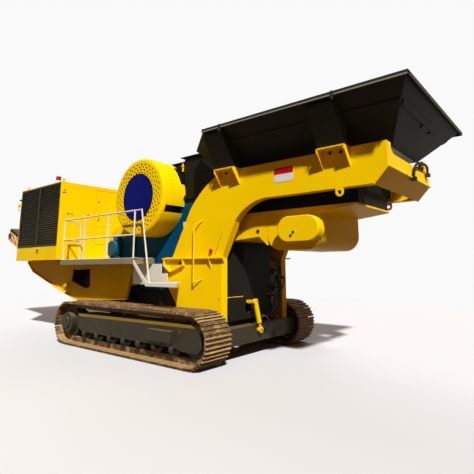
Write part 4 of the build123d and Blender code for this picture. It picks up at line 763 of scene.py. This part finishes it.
class CRUSHER_OT_hopper_fittings(Operator):
    """Latch on the feed hopper's end wall, strips and tabs along its rim, and wings down to the throat"""
    bl_idname = "crusher.hopper_fittings"
    bl_label = "Hopper Fittings"

    def execute(self, context):
        piece("hopper_latch", "dark_steel",
              (bar, (5.11, 5.255), (-0.15, 0.30), (3.647, 3.683), 0.004),
              *((bar, (5.11, 5.275), around(y, 0.012), (3.615, 3.695), 0.003) for y in (-0.125, 0.275)),
              (tube, [at(5.26, -0.185, 3.671), at(5.26, 0.335, 3.671)], 0.012))
        for word, side in SIDES.items():
            inner = HOPPER_FACE - 0.001
            strip = (bar, (2.05, 5.49), (inner, 1.5325), (HOPPER_RIM - 0.06, HOPPER_RIM - 0.038), 0.0008, side)
            piece("hopper_rim_strip_" + word, "wear_steel", strip, record_slot="black_paint")
            top, fold, foot, ledge, wall = (at(x, side * y, z) for x, y, z in (
                (2.04, 1.485, 3.913), (1.385, 1.0, 3.782), (1.735, 0.865, 3.47), (1.385, 0.865, 3.764),
                (1.894, 1.05, 3.60)))
            folds = ((top, fold, wall), (fold, foot, wall), (fold, ledge, foot))
            piece("hopper_wing_" + word, "hopper_shade_lifted_black", *each(folds, plate, (-0.5, side * 0.4, -0.75), 0.010))
            tabs = each((around(2.457, 0.018), around(4.498, 0.018)), bar, (inner, 1.552),
                        (3.80, HOPPER_RIM - 0.0005), 0.003, side)
            piece("hopper_rim_tabs_" + word, "hopper_shade_lifted_black", *tabs)
        return {"FINISHED"}


class CRUSHER_OT_gooseneck_fittings(Operator):
    """Blank plate, stop button, bolts, chute strip, valves and lines on the goose-neck"""
    bl_idname = "crusher.gooseneck_fittings"
    bl_label = "Goose-neck Fittings"

    def execute(self, context):
        self.arm_plate()
        profile = [(0, 0.052), (0.03, 0.049), (0.04, 0.038), (0.04, 0.026), (0.022, 0.024), (0.022, 0)]
        piece("stop_button", "red_paint", (lathe, at(1.811, -ARM_FACE, 1.874), NEARWARD, profile))
        bolts = both((1.965, 2.0), around(ARM_FACE + 0.001, 0.002), (1.048, 1.06), 0)
        places = ((2.14, 3.23), (2.32, 3.23), (4.17, 3.23), (4.34, 3.22), (0.986, 1.672))
        for side in SIDES.values():
            y = side * ARM_FACE
            bolts += each([at(x, y, z) for x, z in places], bolt, (0, side, 0), sizes().bolt)
            bolts.append((tube, [at(2.044, y, 2.187), at(1.97, y, 2.02), at(1.884, y, 1.802)], 0.0035, 8))
        piece("gooseneck_bolts", "dark_steel", *bolts)
        piece("chute_strip", "yellow_paint", *both((1.9995, 2.004), (0.37, 0.92), (1.060, 1.072), 0.001))
        way = smooth_path([at(5.035, 0.0, 2.86), at(5.05, 0.02, 3.02), at(5.065, 0.10, 3.13),
                           at(5.075, 0.30, 3.19), at(5.075, 0.55, 3.21), at(5.06, 0.74, 3.19),
                           at(5.04, 0.79, 3.08)])
        clamps = ((0.0, 2.89), (0.42, 3.205), (0.79, 3.08))
        piece("end_beam_line", "hose_rubber", (tube, way, 0.02),
              *((bar, (5.0, 5.085), around(y, 0.03), around(z, 0.03), 0.005) for y, z in clamps))
        self.valves()
        return {"FINISHED"}

    def arm_plate(self):
        """Bare plate with round corners on the near arm, with a red band along its upper edge."""
        left, right, low, high, corner, thick = 3.21, 3.49, 2.955, 3.11, 0.04, 0.004
        outline = []
        for x, z, start in ((right, high, 0), (left, high, 90), (left, low, 180), (right, low, 270)):
            for step in range(4):
                angle = radians(start + 30 * step)
                outline.append(at(x + corner * cos(angle), -ARM_FACE, z + corner * sin(angle)))
        piece("arm_plate", "plate_paint", (plate, outline, NEARWARD, thick, 0.0015))
        upper = [point + Vector((0, -thick, 0)) for point in outline[:8]]
        upper += [Vector((point.x, point.y, 3.045)) for point in (upper[-1], upper[0])]
        piece("arm_plate_band", "red_paint", (plate, upper, NEARWARD, 0.001))

    def valves(self):
        """Five valves on a rail with its bracket, behind the far arm, and their hoses."""
        face = CHUTE_FACE
        valves = [(bar, (face - 0.08, face - 0.038), (0.44, 0.852), (0.74, 1.68), 0.004),
                  (bar, (face - 0.05, face + 0.03), (0.79, 0.852), (1.61, 1.67), 0.006)]
        hoses = []
        for y, z in ((0.63, 1.50), (0.81, 1.36), (0.65, 1.17), (0.51, 1.02), (0.54, 0.82)):
            valves += [(bar, (face - 0.04, face + 0.045), around(y, 0.05), around(z, 0.06), 0.008),
                       (lathe, at(face + 0.045, y, z + 0.02), FORWARD, capped(0.026, 0.03, 0.022, 0.05), 12)]
            way = [at(face + 0.095, y, z + 0.02), at(face + 0.14, y - 0.02, z - 0.05),
                   at(face + 0.12, y - 0.10, z - 0.22), at(face + 0.02, y - 0.16, z - 0.30),
                   at(face - 0.06, y - 0.18, z - 0.32)]
            hoses.append((hose, way, sizes().hose))
        piece("valve_bank", "dark_steel", *valves)
        piece("valve_hoses", "hose_rubber", *hoses)


class CRUSHER_OT_feeder_fittings(Operator):
    """Plugs and bolts of the feeder's exciter, and the knuckle of its underframe"""
    bl_idname = "crusher.feeder_fittings"
    bl_label = "Feeder Fittings"

    def execute(self, context):
        places = [at(x, y, 2.419) for y in (-0.6, -0.2, 0.2, 0.6) for x in (2.86, 3.77)]
        piece("exciter_bolts", "bolt_steel", *each(places, bolt, UPWARD, sizes().bolt))
        places = (at(3.436, -0.899, 2.124), at(3.388, -0.899, 2.073))
        piece("exciter_plugs", "dark_steel",
              *each(places, lathe, NEARWARD, dished(0.013, 0.016, 0.022, 0.008), 20))
        piece("underframe_knuckle_arm", "yellow_paint",
              (bar, (2.02, 2.20), (-0.765, -0.6995), (2.185, 2.255), 0.006))
        piece("underframe_knuckle", "dark_steel",
              (lathe, at(2.155, -0.765, 2.222), NEARWARD, capped(0.026, 0.006, 0.02, 0.012)),
              (lathe, at(2.606, -0.70, 2.191), NEARWARD, dished(0.026, 0.03, 0.036, 0.006)))
        return {"FINISHED"}


class CRUSHER_OT_power_pack_fittings(Operator):
    """Panel seams, catches, studs, hook, ring, exhaust, beacon collar and knob of the power pack"""
    bl_idname = "crusher.power_pack_fittings"
    bl_label = "Power Pack Fittings"

    def execute(self, context):
        size = sizes()
        piece("panel_seams", "black_paint",
              *((bar, around(x, size.seam / 2), (-1.42, 1.42), (PACK_TOP - 0.001, PACK_TOP + 0.0015))
                for x in (-4.35, -3.62)))
        catches = (((-1.41, -1.31), 3.425), ((-1.26, -1.18), 2.908))
        studs = [at(PACK_FRONT, y, z) for y, z in ((-1.347, 3.492), (-1.13, 2.916), (-0.693, 2.927))]
        bolts = [at(x, y, PACK_TOP) for x in (-4.9, -4.5, -4.2, -3.77, -3.47, -3.05) for y in (-1.40, 1.40)]
        piece("pack_studs", "dark_steel",
              *((bar, (PACK_FRONT - 0.001, PACK_FRONT + 0.008), y, (z, z + 0.016), 0.002) for y, z in catches),
              *each(studs, lathe, FORWARD, STUD, 16), *each(bolts, bolt, UPWARD, size.small_bolt))
        way = ((-1.44, 2.08), (-1.475, 2.06), (-1.485, 2.02), (-1.475, 1.97), (-1.455, 1.96))
        piece("base_hook", "dark_steel", (tube, smooth_path([at(-3.84, y, z) for y, z in way]), 0.01, 10))
        piece("base_hook_lug", "yellow_paint", (bar, (-3.88, -3.80), (-1.475, -1.4495), (2.045, 2.10), 0.004))
        x, y, z, reach, steps = PACK_REAR + 0.01, -1.505, 3.20, 0.055, 24
        turns = [2 * pi * step / steps for step in range(steps + 1)]
        piece("rear_ring", "yellow_paint",
              (bar, (PACK_REAR - 0.02, PACK_REAR + 0.05), (-1.52, -1.449), (3.27, 3.33), 0.004),
              (tube, [at(x, y, 3.29), at(x, y, z + reach)], 0.012, 10),
              (tube, [at(x + reach * sin(turn), y, z - reach * cos(turn)) for turn in turns], 0.009, 8))
        stub = at(-4.2, 0.55, PACK_TOP)
        piece("exhaust_stub", "dark_steel",
              (lathe, stub, UPWARD, [(0.075, 0), (0.075, 0.09), (0.068, 0.09), (0.068, 0.01)], 28),
              (lathe, stub, UPWARD, [(0.11, 0), (0.11, 0.012), (0.075, 0.02)], 28))
        low, high = span("beacon")
        profile = [(0.0695, 0), (0.0735, 0), (0.0735, 0.06), (0.0715, 0.068), (0.066, 0.0725),
                   (0.0605, 0.0725), (0.0605, 0.069), (0.0695, 0.069)]
        foot = ((low.x + high.x) / 2, (low.y + high.y) / 2, low.z)
        piece("beacon_collar", "plate_paint", (lathe, foot, UPWARD, profile, 32))
        profile = [(0, 0.055), (0.02, 0.05), (0.028, 0.035), (0.02, 0.018), (0.012, 0)]
        piece("pack_knob", "black_paint", (lathe, at(PACK_REAR + 0.02, -1.45, 3.44), NEARWARD, profile, 20))
        return {"FINISHED"}


class CRUSHER_OT_door_fittings(Operator):
    """Lock and latch studs of the service door"""
    bl_idname = "crusher.door_fittings"
    bl_label = "Service Door Fittings"

    def execute(self, context):
        studs = (at(PACK_FRONT, -0.40, 3.30), at(PACK_FRONT, 0.016, 2.315))
        piece("door_lock", "dark_steel", *each(studs, lathe, FORWARD, STUD, 16),
              (lathe, at(PACK_FRONT, -0.405, 2.80), FORWARD, capped(0.018, 0.003, 0.014, 0.006), 20),
              body=DOOR_LEAF)
        return {"FINISHED"}


class CRUSHER_OT_drive_fittings(Operator):
    """Terminal box, cooling fins and cowl grille of the drive motor"""
    bl_idname = "crusher.drive_fittings"
    bl_label = "Drive Fittings"

    def execute(self, context):
        x, y, z = -1.385, -0.785, 2.015
        middle = at(x, y, z)
        piece("terminal_box", "teal_paint",
              (bar, around(x, 0.075), (y - 0.07, y + 0.09), (z + 0.19, z + 0.285), 0.008),
              (lathe, at(x + 0.075, y, z + 0.235), FORWARD, capped(0.022, 0.03, 0.016, 0.036), 14))
        half, root, tip, half_thick, count = Vector((0, 0.115, 0)), 0.197, 0.219, 0.003, 28
        fins = []
        for point in ring_of(count, 1, (0, 0, 0), (0, 1, 0), pi / count):
            if -0.85 <= point.z <= 0.9:  # the foot and the terminal box take the place of the others
                across = Vector((-point.z, 0, point.x)) * half_thick
                inner, outer = middle + point * root - across, middle + point * tip - across
                corners = [inner - half, outer - half, outer + half, inner + half]
                fins.append((plate, corners, across, 2 * half_thick))
        piece("motor_fins", "teal_paint", *fins)
        face = at(x, -0.9455, z)
        grille = [(tube, [face, point], 0.004, 6) for point in ring_of(6, 0.15, face, NEARWARD)]
        for reach in (0.04, 0.075, 0.11, 0.145):
            wide = reach + 0.007
            profile = [(reach, 0), (wide, 0), (wide, 0.006), (reach, 0.006), (reach, 0)]
            grille.append((lathe, face, NEARWARD, profile, 32))
        piece("cowl_grille", "dark_steel", *grille)
        return {"FINISHED"}


class CRUSHER_OT_walkway_fittings(Operator):
    """Grating bars, rail feet and step grip of the walkways, and black plates behind them that paint the shade
    of the gap under the power pack
    """
    bl_idname = "crusher.walkway_fittings"
    bl_label = "Walkway Fittings"

    def execute(self, context):
        rear, front, inner, outer, strips = -2.458, 0.278, 1.054, 1.538, 10
        count = int((front - rear) / sizes().grating_pitch)
        grating, feet = [], []
        for index in range(1, count):
            x = rear + (front - rear) * index / count
            grating += both(around(x, 0.003), (inner, outer), (DECK_TOP, 1.778), 0)
        for index in range(1, strips):
            y = inner + (outer - inner) * index / strips
            grating += both((rear, front), around(y, 0.0025), (DECK_TOP, 1.776), 0)
        for y in (1.08 + 0.07 * index for index in range(7)):
            slanted_edge = 1.03 + 0.48 * (y - 1.0) / 0.55
            grating += both((0.74, slanted_edge), around(y, 0.003), (1.3199, 1.329), 0)
        for x in (-2.40, -1.51, -0.62, 0.26):
            feet += both(around(x, 0.05), (1.455, 1.545), (DECK_TOP, 1.780), 0.002)
        piece("walkway_grating", "galvanised", *grating)
        piece("rail_feet", "galvanised", *feet)
        # Black plates across the gap between the walkways and the power pack: painted shade, which also keeps
        # the sun out of the gap
        piece("walkway_shade_plates", "black_paint",
              *both((-2.8905, -2.4695), (1.045, 1.445), (1.745, 1.7805), 0.002))
        return {"FINISHED"}


class CRUSHER_OT_track_fittings(Operator):
    """Final drive bolts, roller caps and plugs of the crawler tracks, and mustard strips along the top of each
    track frame, partly the ledge's yellow and partly a painted highlight
    """
    bl_idname = "crusher.track_fittings"
    bl_label = "Track Fittings"

    def execute(self, context):
        # Axles of the sprockets and idlers: their height, and how far they are from the track's middle
        axle_z, axle_x = 0.4425, 4.68 / 2 - 0.4425
        rollers, first, last, roller_z = 7, -1.26, 1.42, 0.263
        cap, plug = capped(0.045, 0.012, 0.035, 0.02), dished(0.018, 0.022, 0.03, 0.01)
        caps, bolts = [], []
        for word, side in SIDES.items():
            axis, y = (0, side, 0), side * TRACK_FACE
            drive = ring_of(14, 0.17, at(-axle_x, side * 1.59, axle_z), axis)
            bolts += each(drive, bolt, axis, sizes().small_bolt)
            caps += each(row_of(rollers, at(first, y, roller_z), at(last, y, roller_z)), lathe, axis, cap, 20)
            caps.append((lathe, at(axle_x - 0.25, y, 0.56), axis, plug, 20))
            # The strip at the top of the frame's outer face paints the yellowish ledge together with the
            # highlight along it
            y = side * (TRACK_FACE - 0.0005)
            strip = [at(-1.48, y, 0.594), at(2.12, y, 0.636), at(2.12, y, 0.686), at(-1.48, y, 0.644)]
            piece("track_strip_" + word, "mustard_ledge_and_highlight", (plate, strip, axis, 0.006, 0.0015))
        piece("track_caps", "dark_steel", *caps)
        piece("track_bolts", "dark_steel", *bolts)
        return {"FINISHED"}


class CRUSHER_OT_chassis_fittings(Operator):
    """Lugs and weld lines on the chassis plates"""
    bl_idname = "crusher.chassis_fittings"
    bl_label = "Chassis Fittings"

    def execute(self, context):
        lugs, welds = [], []
        for side in SIDES.values():
            y = side * 1.042
            corners = [at(-3.21, y, 1.14), at(-3.02, y, 1.28), at(-2.97, y, 1.26), at(-3.04, y, 1.12)]
            lugs.append((plate, corners, (0, side, 0), 0.03, 0.003))
            for index in range(9):
                z = 0.97 + 0.075 * index
                ends = [at(-2.05 - 0.1 * (index % 3), y, z), at(-0.62 - 0.04 * index, y, z)]
                welds.append((tube, ends, 0.0035, 6))
        piece("chassis_lugs", "yellow_paint", *lugs)
        piece("chassis_welds", "yellow_paint", *welds)
        return {"FINISHED"}


class CRUSHER_OT_conveyor_fittings(Operator):
    """Bearings, bolts, stripes, loading skirts and scraper of the main conveyor"""
    bl_idname = "crusher.conveyor_fittings"
    bl_label = "Conveyor Fittings"
    # The belt's centre line is level up to the bend, and rises from there to the rear
    bend_x, level_z, slope = -2.74, 0.74, 0.377

    def on_belt(self, x, y, height):
        """Point beside the belt's centre line, square to it."""
        if x > self.bend_x:
            return at(x, y, self.level_z + height)
        angle = atan2(self.slope, 1)
        z = self.level_z + self.slope * (self.bend_x - x)
        return at(x + height * sin(angle), y, z + height * cos(angle))

    def execute(self, context):
        flats = sizes().bolt
        profile = [(0.04, 0), (0.085, 0), (0.085, 0.03), (0.06, 0.045), (0, 0.045)]
        bearings, bolts, marks = [], [], []
        for side in SIDES.values():
            axis, y = (0, side, 0), side * BELT_FACE
            for drum in (self.on_belt(1.6, y, 0), self.on_belt(-7.79, y, 0)):
                bearings.append((lathe, drum, axis, profile))
                ring = ring_of(4, 0.07, drum + Vector((0, side * 0.028, 0)), axis, pi / 4)
                bolts += each(ring, bolt, axis, flats * 0.7)
            places = [self.on_belt(-3.2 - 0.38 * index, y, -0.10) for index in range(12)]
            bolts += each(places, bolt, axis, flats * 0.8)
            corners = [self.on_belt(x, y, height)
                       for x, height in ((-7.82, -0.14), (-7.25, -0.14), (-7.25, 0.08), (-7.82, 0.08))]
            marks.append((plate, corners, axis, 0.003))
        piece("conveyor_bearings", "dark_steel", *bearings)
        piece("conveyor_bolts", "bolt_steel", *bolts)
        piece("stripe_plates", "stripes", *marks)
        piece("loading_skirts", "belt_rubber",
              *both((-1.25, 1.28), (BELT_FACE - 0.0005, 0.608), (0.80, 1.19), 0.002))
        ends = [self.on_belt(-7.86, y, -0.16) for y in (-0.575, 0.575)]
        piece("belt_scraper", "dark_steel", (tube, ends, 0.02))
        return {"FINISHED"}


class CRUSHER_OT_front_fittings(Operator):
    """Hose and eye pins of the cylinder in front of the undercarriage"""
    bl_idname = "crusher.front_fittings"
    bl_label = "Front Cylinder Fittings"

    def execute(self, context):
        way = [at(2.215, -0.12, 0.70), at(2.26, -0.06, 0.71), at(2.27, 0.05, 0.62), at(2.22, 0.08, 0.50),
               at(2.125, 0.09, 0.44)]
        piece("cylinder_hoses", "hose_rubber", (hose, way, sizes().hose))
        pins = (at(2.212, -0.25, 0.97), at(2.212, -0.10, 0.47))
        profile = capped(0.024, 0.012, 0.018, 0.018)
        piece("cylinder_pins", "bolt_steel", *each(pins, lathe, FORWARD, profile, 18))
        return {"FINISHED"}


class CRUSHER_OT_stage(Operator):
    """Floor, backdrop, lamps and the camera at the photograph's place"""
    bl_idname = "crusher.stage"
    bl_label = "Stage"
    # The floor, and where on it the pale look fades into the backdrop
    floor_radius, fade_from, fade_to = 90, 7.5, 15
    # Camera fitted to the photograph: place, turns in degrees, and focal length and centre in its pixels
    eye = (8.0150, -6.2343, 1.6240)
    yaw, pitch, roll = 38.3886, 10.1671, -0.4052
    pixels, focal, centre_x, centre_y = 474, 402.888, 247.787, 192.858
    sensor = 36

    def execute(self, context):
        stage = context.scene.crusher_stage
        self.floor(stage)
        self.world(stage)
        self.lamps(stage)
        self.camera()
        context.scene.view_settings.view_transform = "Standard"
        return {"FINISHED"}

    def seen(self, shader):
        """1 for what the camera sees directly, in gloss or through glass."""
        rays = [shader.node("ShaderNodeLightPath", output=name)
                for name in ("Is Camera Ray", "Is Glossy Ray", "Is Transmission Ray")]
        return (rays[0] + rays[1] + rays[2]).clipped()

    def add(self, name, data):
        made = bpy.data.objects.new(name, data)
        bpy.context.scene.collection.objects.link(made)
        return made

    def floor(self, stage):
        mesh = bmesh.new()
        bmesh.ops.create_circle(mesh, cap_ends=True, radius=self.floor_radius, segments=96)
        data = bpy.data.meshes.new("floor")
        mesh.to_mesh(data)
        mesh.free()
        made = self.add("floor", data)
        made.location = (0, 0, -0.001)
        shader = Finish("floor")
        place = shader.place()
        distance = shader.node("ShaderNodeVectorMath", {"operation": "LENGTH"}, {0: place}, "Value")
        seen = self.seen(shader)
        fading = shader.ramp(distance, self.fade_from, self.fade_to) * seen
        pale = shader.node("ShaderNodeBsdfDiffuse", {}, {"Color": stage.floor})
        dark = shader.node("ShaderNodeBsdfDiffuse", {}, {"Color": stage.floor_bounce})
        lit = shader.node("ShaderNodeMixShader", {}, {0: seen, 1: dark, 2: pale})
        glow = shader.node("ShaderNodeEmission", {}, {"Color": stage.backdrop, "Strength": 1.0})
        both = shader.node("ShaderNodeMixShader", {}, {0: fading, 1: lit, 2: glow})
        shader.node("ShaderNodeOutputMaterial", {}, {"Surface": both})
        data.materials.append(shader.material)

    def world(self, stage):
        world = bpy.data.worlds.new("studio")
        bpy.context.scene.world = world
        world.use_nodes = True
        shader = Finish("studio", world.node_tree)
        tint = {"Color": stage.fill_tint, "Strength": stage.fill}
        light = shader.node("ShaderNodeBackground", {}, tint)
        behind = shader.node("ShaderNodeBackground", {}, {"Color": stage.backdrop, "Strength": 1.0})
        both = shader.node("ShaderNodeMixShader", {}, {0: self.seen(shader), 1: light, 2: behind})
        shader.node("ShaderNodeOutputWorld", {}, {"Surface": both})

    def lamps(self, stage):
        """Suns with their strength, their width in degrees and the way they shine."""
        for name, strength, angle, direction in (
            ("key", stage.key, 2.5, (-0.594, 0.457, -0.66)),
            ("back", stage.key * 0.28, 40, (0.75, -0.45, -0.45)),
        ):
            lamp = bpy.data.lights.new(name, "SUN")
            lamp.energy = strength
            lamp.angle = radians(angle)
            made = self.add(name, lamp)
            made.rotation_euler = Vector(direction).to_track_quat("-Z", "Y").to_euler()

    def camera(self):
        yaw, pitch, roll = radians(self.yaw), radians(self.pitch), radians(self.roll)
        forward = Vector((-sin(yaw) * cos(pitch), cos(yaw) * cos(pitch), sin(pitch)))
        level = Vector((cos(yaw), sin(yaw), 0))
        upright = level.cross(forward)
        right = level * cos(roll) + upright * sin(roll)
        up = upright * cos(roll) - level * sin(roll)
        data = bpy.data.cameras.new("camera")
        data.sensor_width = self.sensor
        data.lens = self.focal / self.pixels * self.sensor
        data.shift_x = (self.pixels / 2 - self.centre_x) / self.pixels
        data.shift_y = (self.centre_y - self.pixels / 2) / self.pixels
        made = self.add("camera", data)
        turn = Matrix((right, up, -forward)).transposed().to_4x4()
        made.matrix_world = Matrix.Translation(self.eye) @ turn
        bpy.context.scene.camera = made


OPERATORS = (
    CRUSHER_OT_finishes,
    CRUSHER_OT_guards,
    CRUSHER_OT_disc_fittings,
    CRUSHER_OT_crusher_fittings,
    CRUSHER_OT_hopper_fittings,
    CRUSHER_OT_gooseneck_fittings,
    CRUSHER_OT_feeder_fittings,
    CRUSHER_OT_power_pack_fittings,
    CRUSHER_OT_door_fittings,
    CRUSHER_OT_drive_fittings,
    CRUSHER_OT_walkway_fittings,
    CRUSHER_OT_track_fittings,
    CRUSHER_OT_chassis_fittings,
    CRUSHER_OT_conveyor_fittings,
    CRUSHER_OT_front_fittings,
    CRUSHER_OT_stage,
)


class CRUSHER_PT_panel(Panel):
    """Sizes, colours and pieces of the crusher"""
    bl_idname = "CRUSHER_PT_panel"
    bl_label = "Jaw Crusher"
    bl_space_type = "VIEW_3D"
    bl_region_type = "UI"
    bl_category = "Crusher"

    def draw(self, context):
        scene = context.scene
        for group in (scene.crusher_finishes, scene.crusher_fittings, scene.crusher_stage):
            column = self.layout.column()
            for name in group.__annotations__:
                column.prop(group, name)
        for operator in OPERATORS:
            self.layout.operator(operator.bl_idname)


def register():
    for group in (*GROUPS, *OPERATORS, CRUSHER_PT_panel):
        bpy.utils.register_class(group)
    bpy.types.Scene.crusher_finishes = PointerProperty(type=FinishColours)
    bpy.types.Scene.crusher_fittings = PointerProperty(type=FittingSizes)
    bpy.types.Scene.crusher_stage = PointerProperty(type=StageSettings)


def unregister():
    del bpy.types.Scene.crusher_finishes, bpy.types.Scene.crusher_fittings, bpy.types.Scene.crusher_stage
    for group in reversed((*GROUPS, *OPERATORS, CRUSHER_PT_panel)):
        bpy.utils.unregister_class(group)


def main():
    register()
    bpy.ops.crusher.finishes()
    bpy.ops.crusher.guards()
    bpy.ops.crusher.disc_fittings()
    bpy.ops.crusher.crusher_fittings()
    bpy.ops.crusher.hopper_fittings()
    bpy.ops.crusher.gooseneck_fittings()
    bpy.ops.crusher.feeder_fittings()
    bpy.ops.crusher.power_pack_fittings()
    bpy.ops.crusher.door_fittings()
    bpy.ops.crusher.drive_fittings()
    bpy.ops.crusher.walkway_fittings()
    bpy.ops.crusher.track_fittings()
    bpy.ops.crusher.chassis_fittings()
    bpy.ops.crusher.conveyor_fittings()
    bpy.ops.crusher.front_fittings()
    bpy.ops.crusher.stage()


if __name__ == "__main__":
    main()
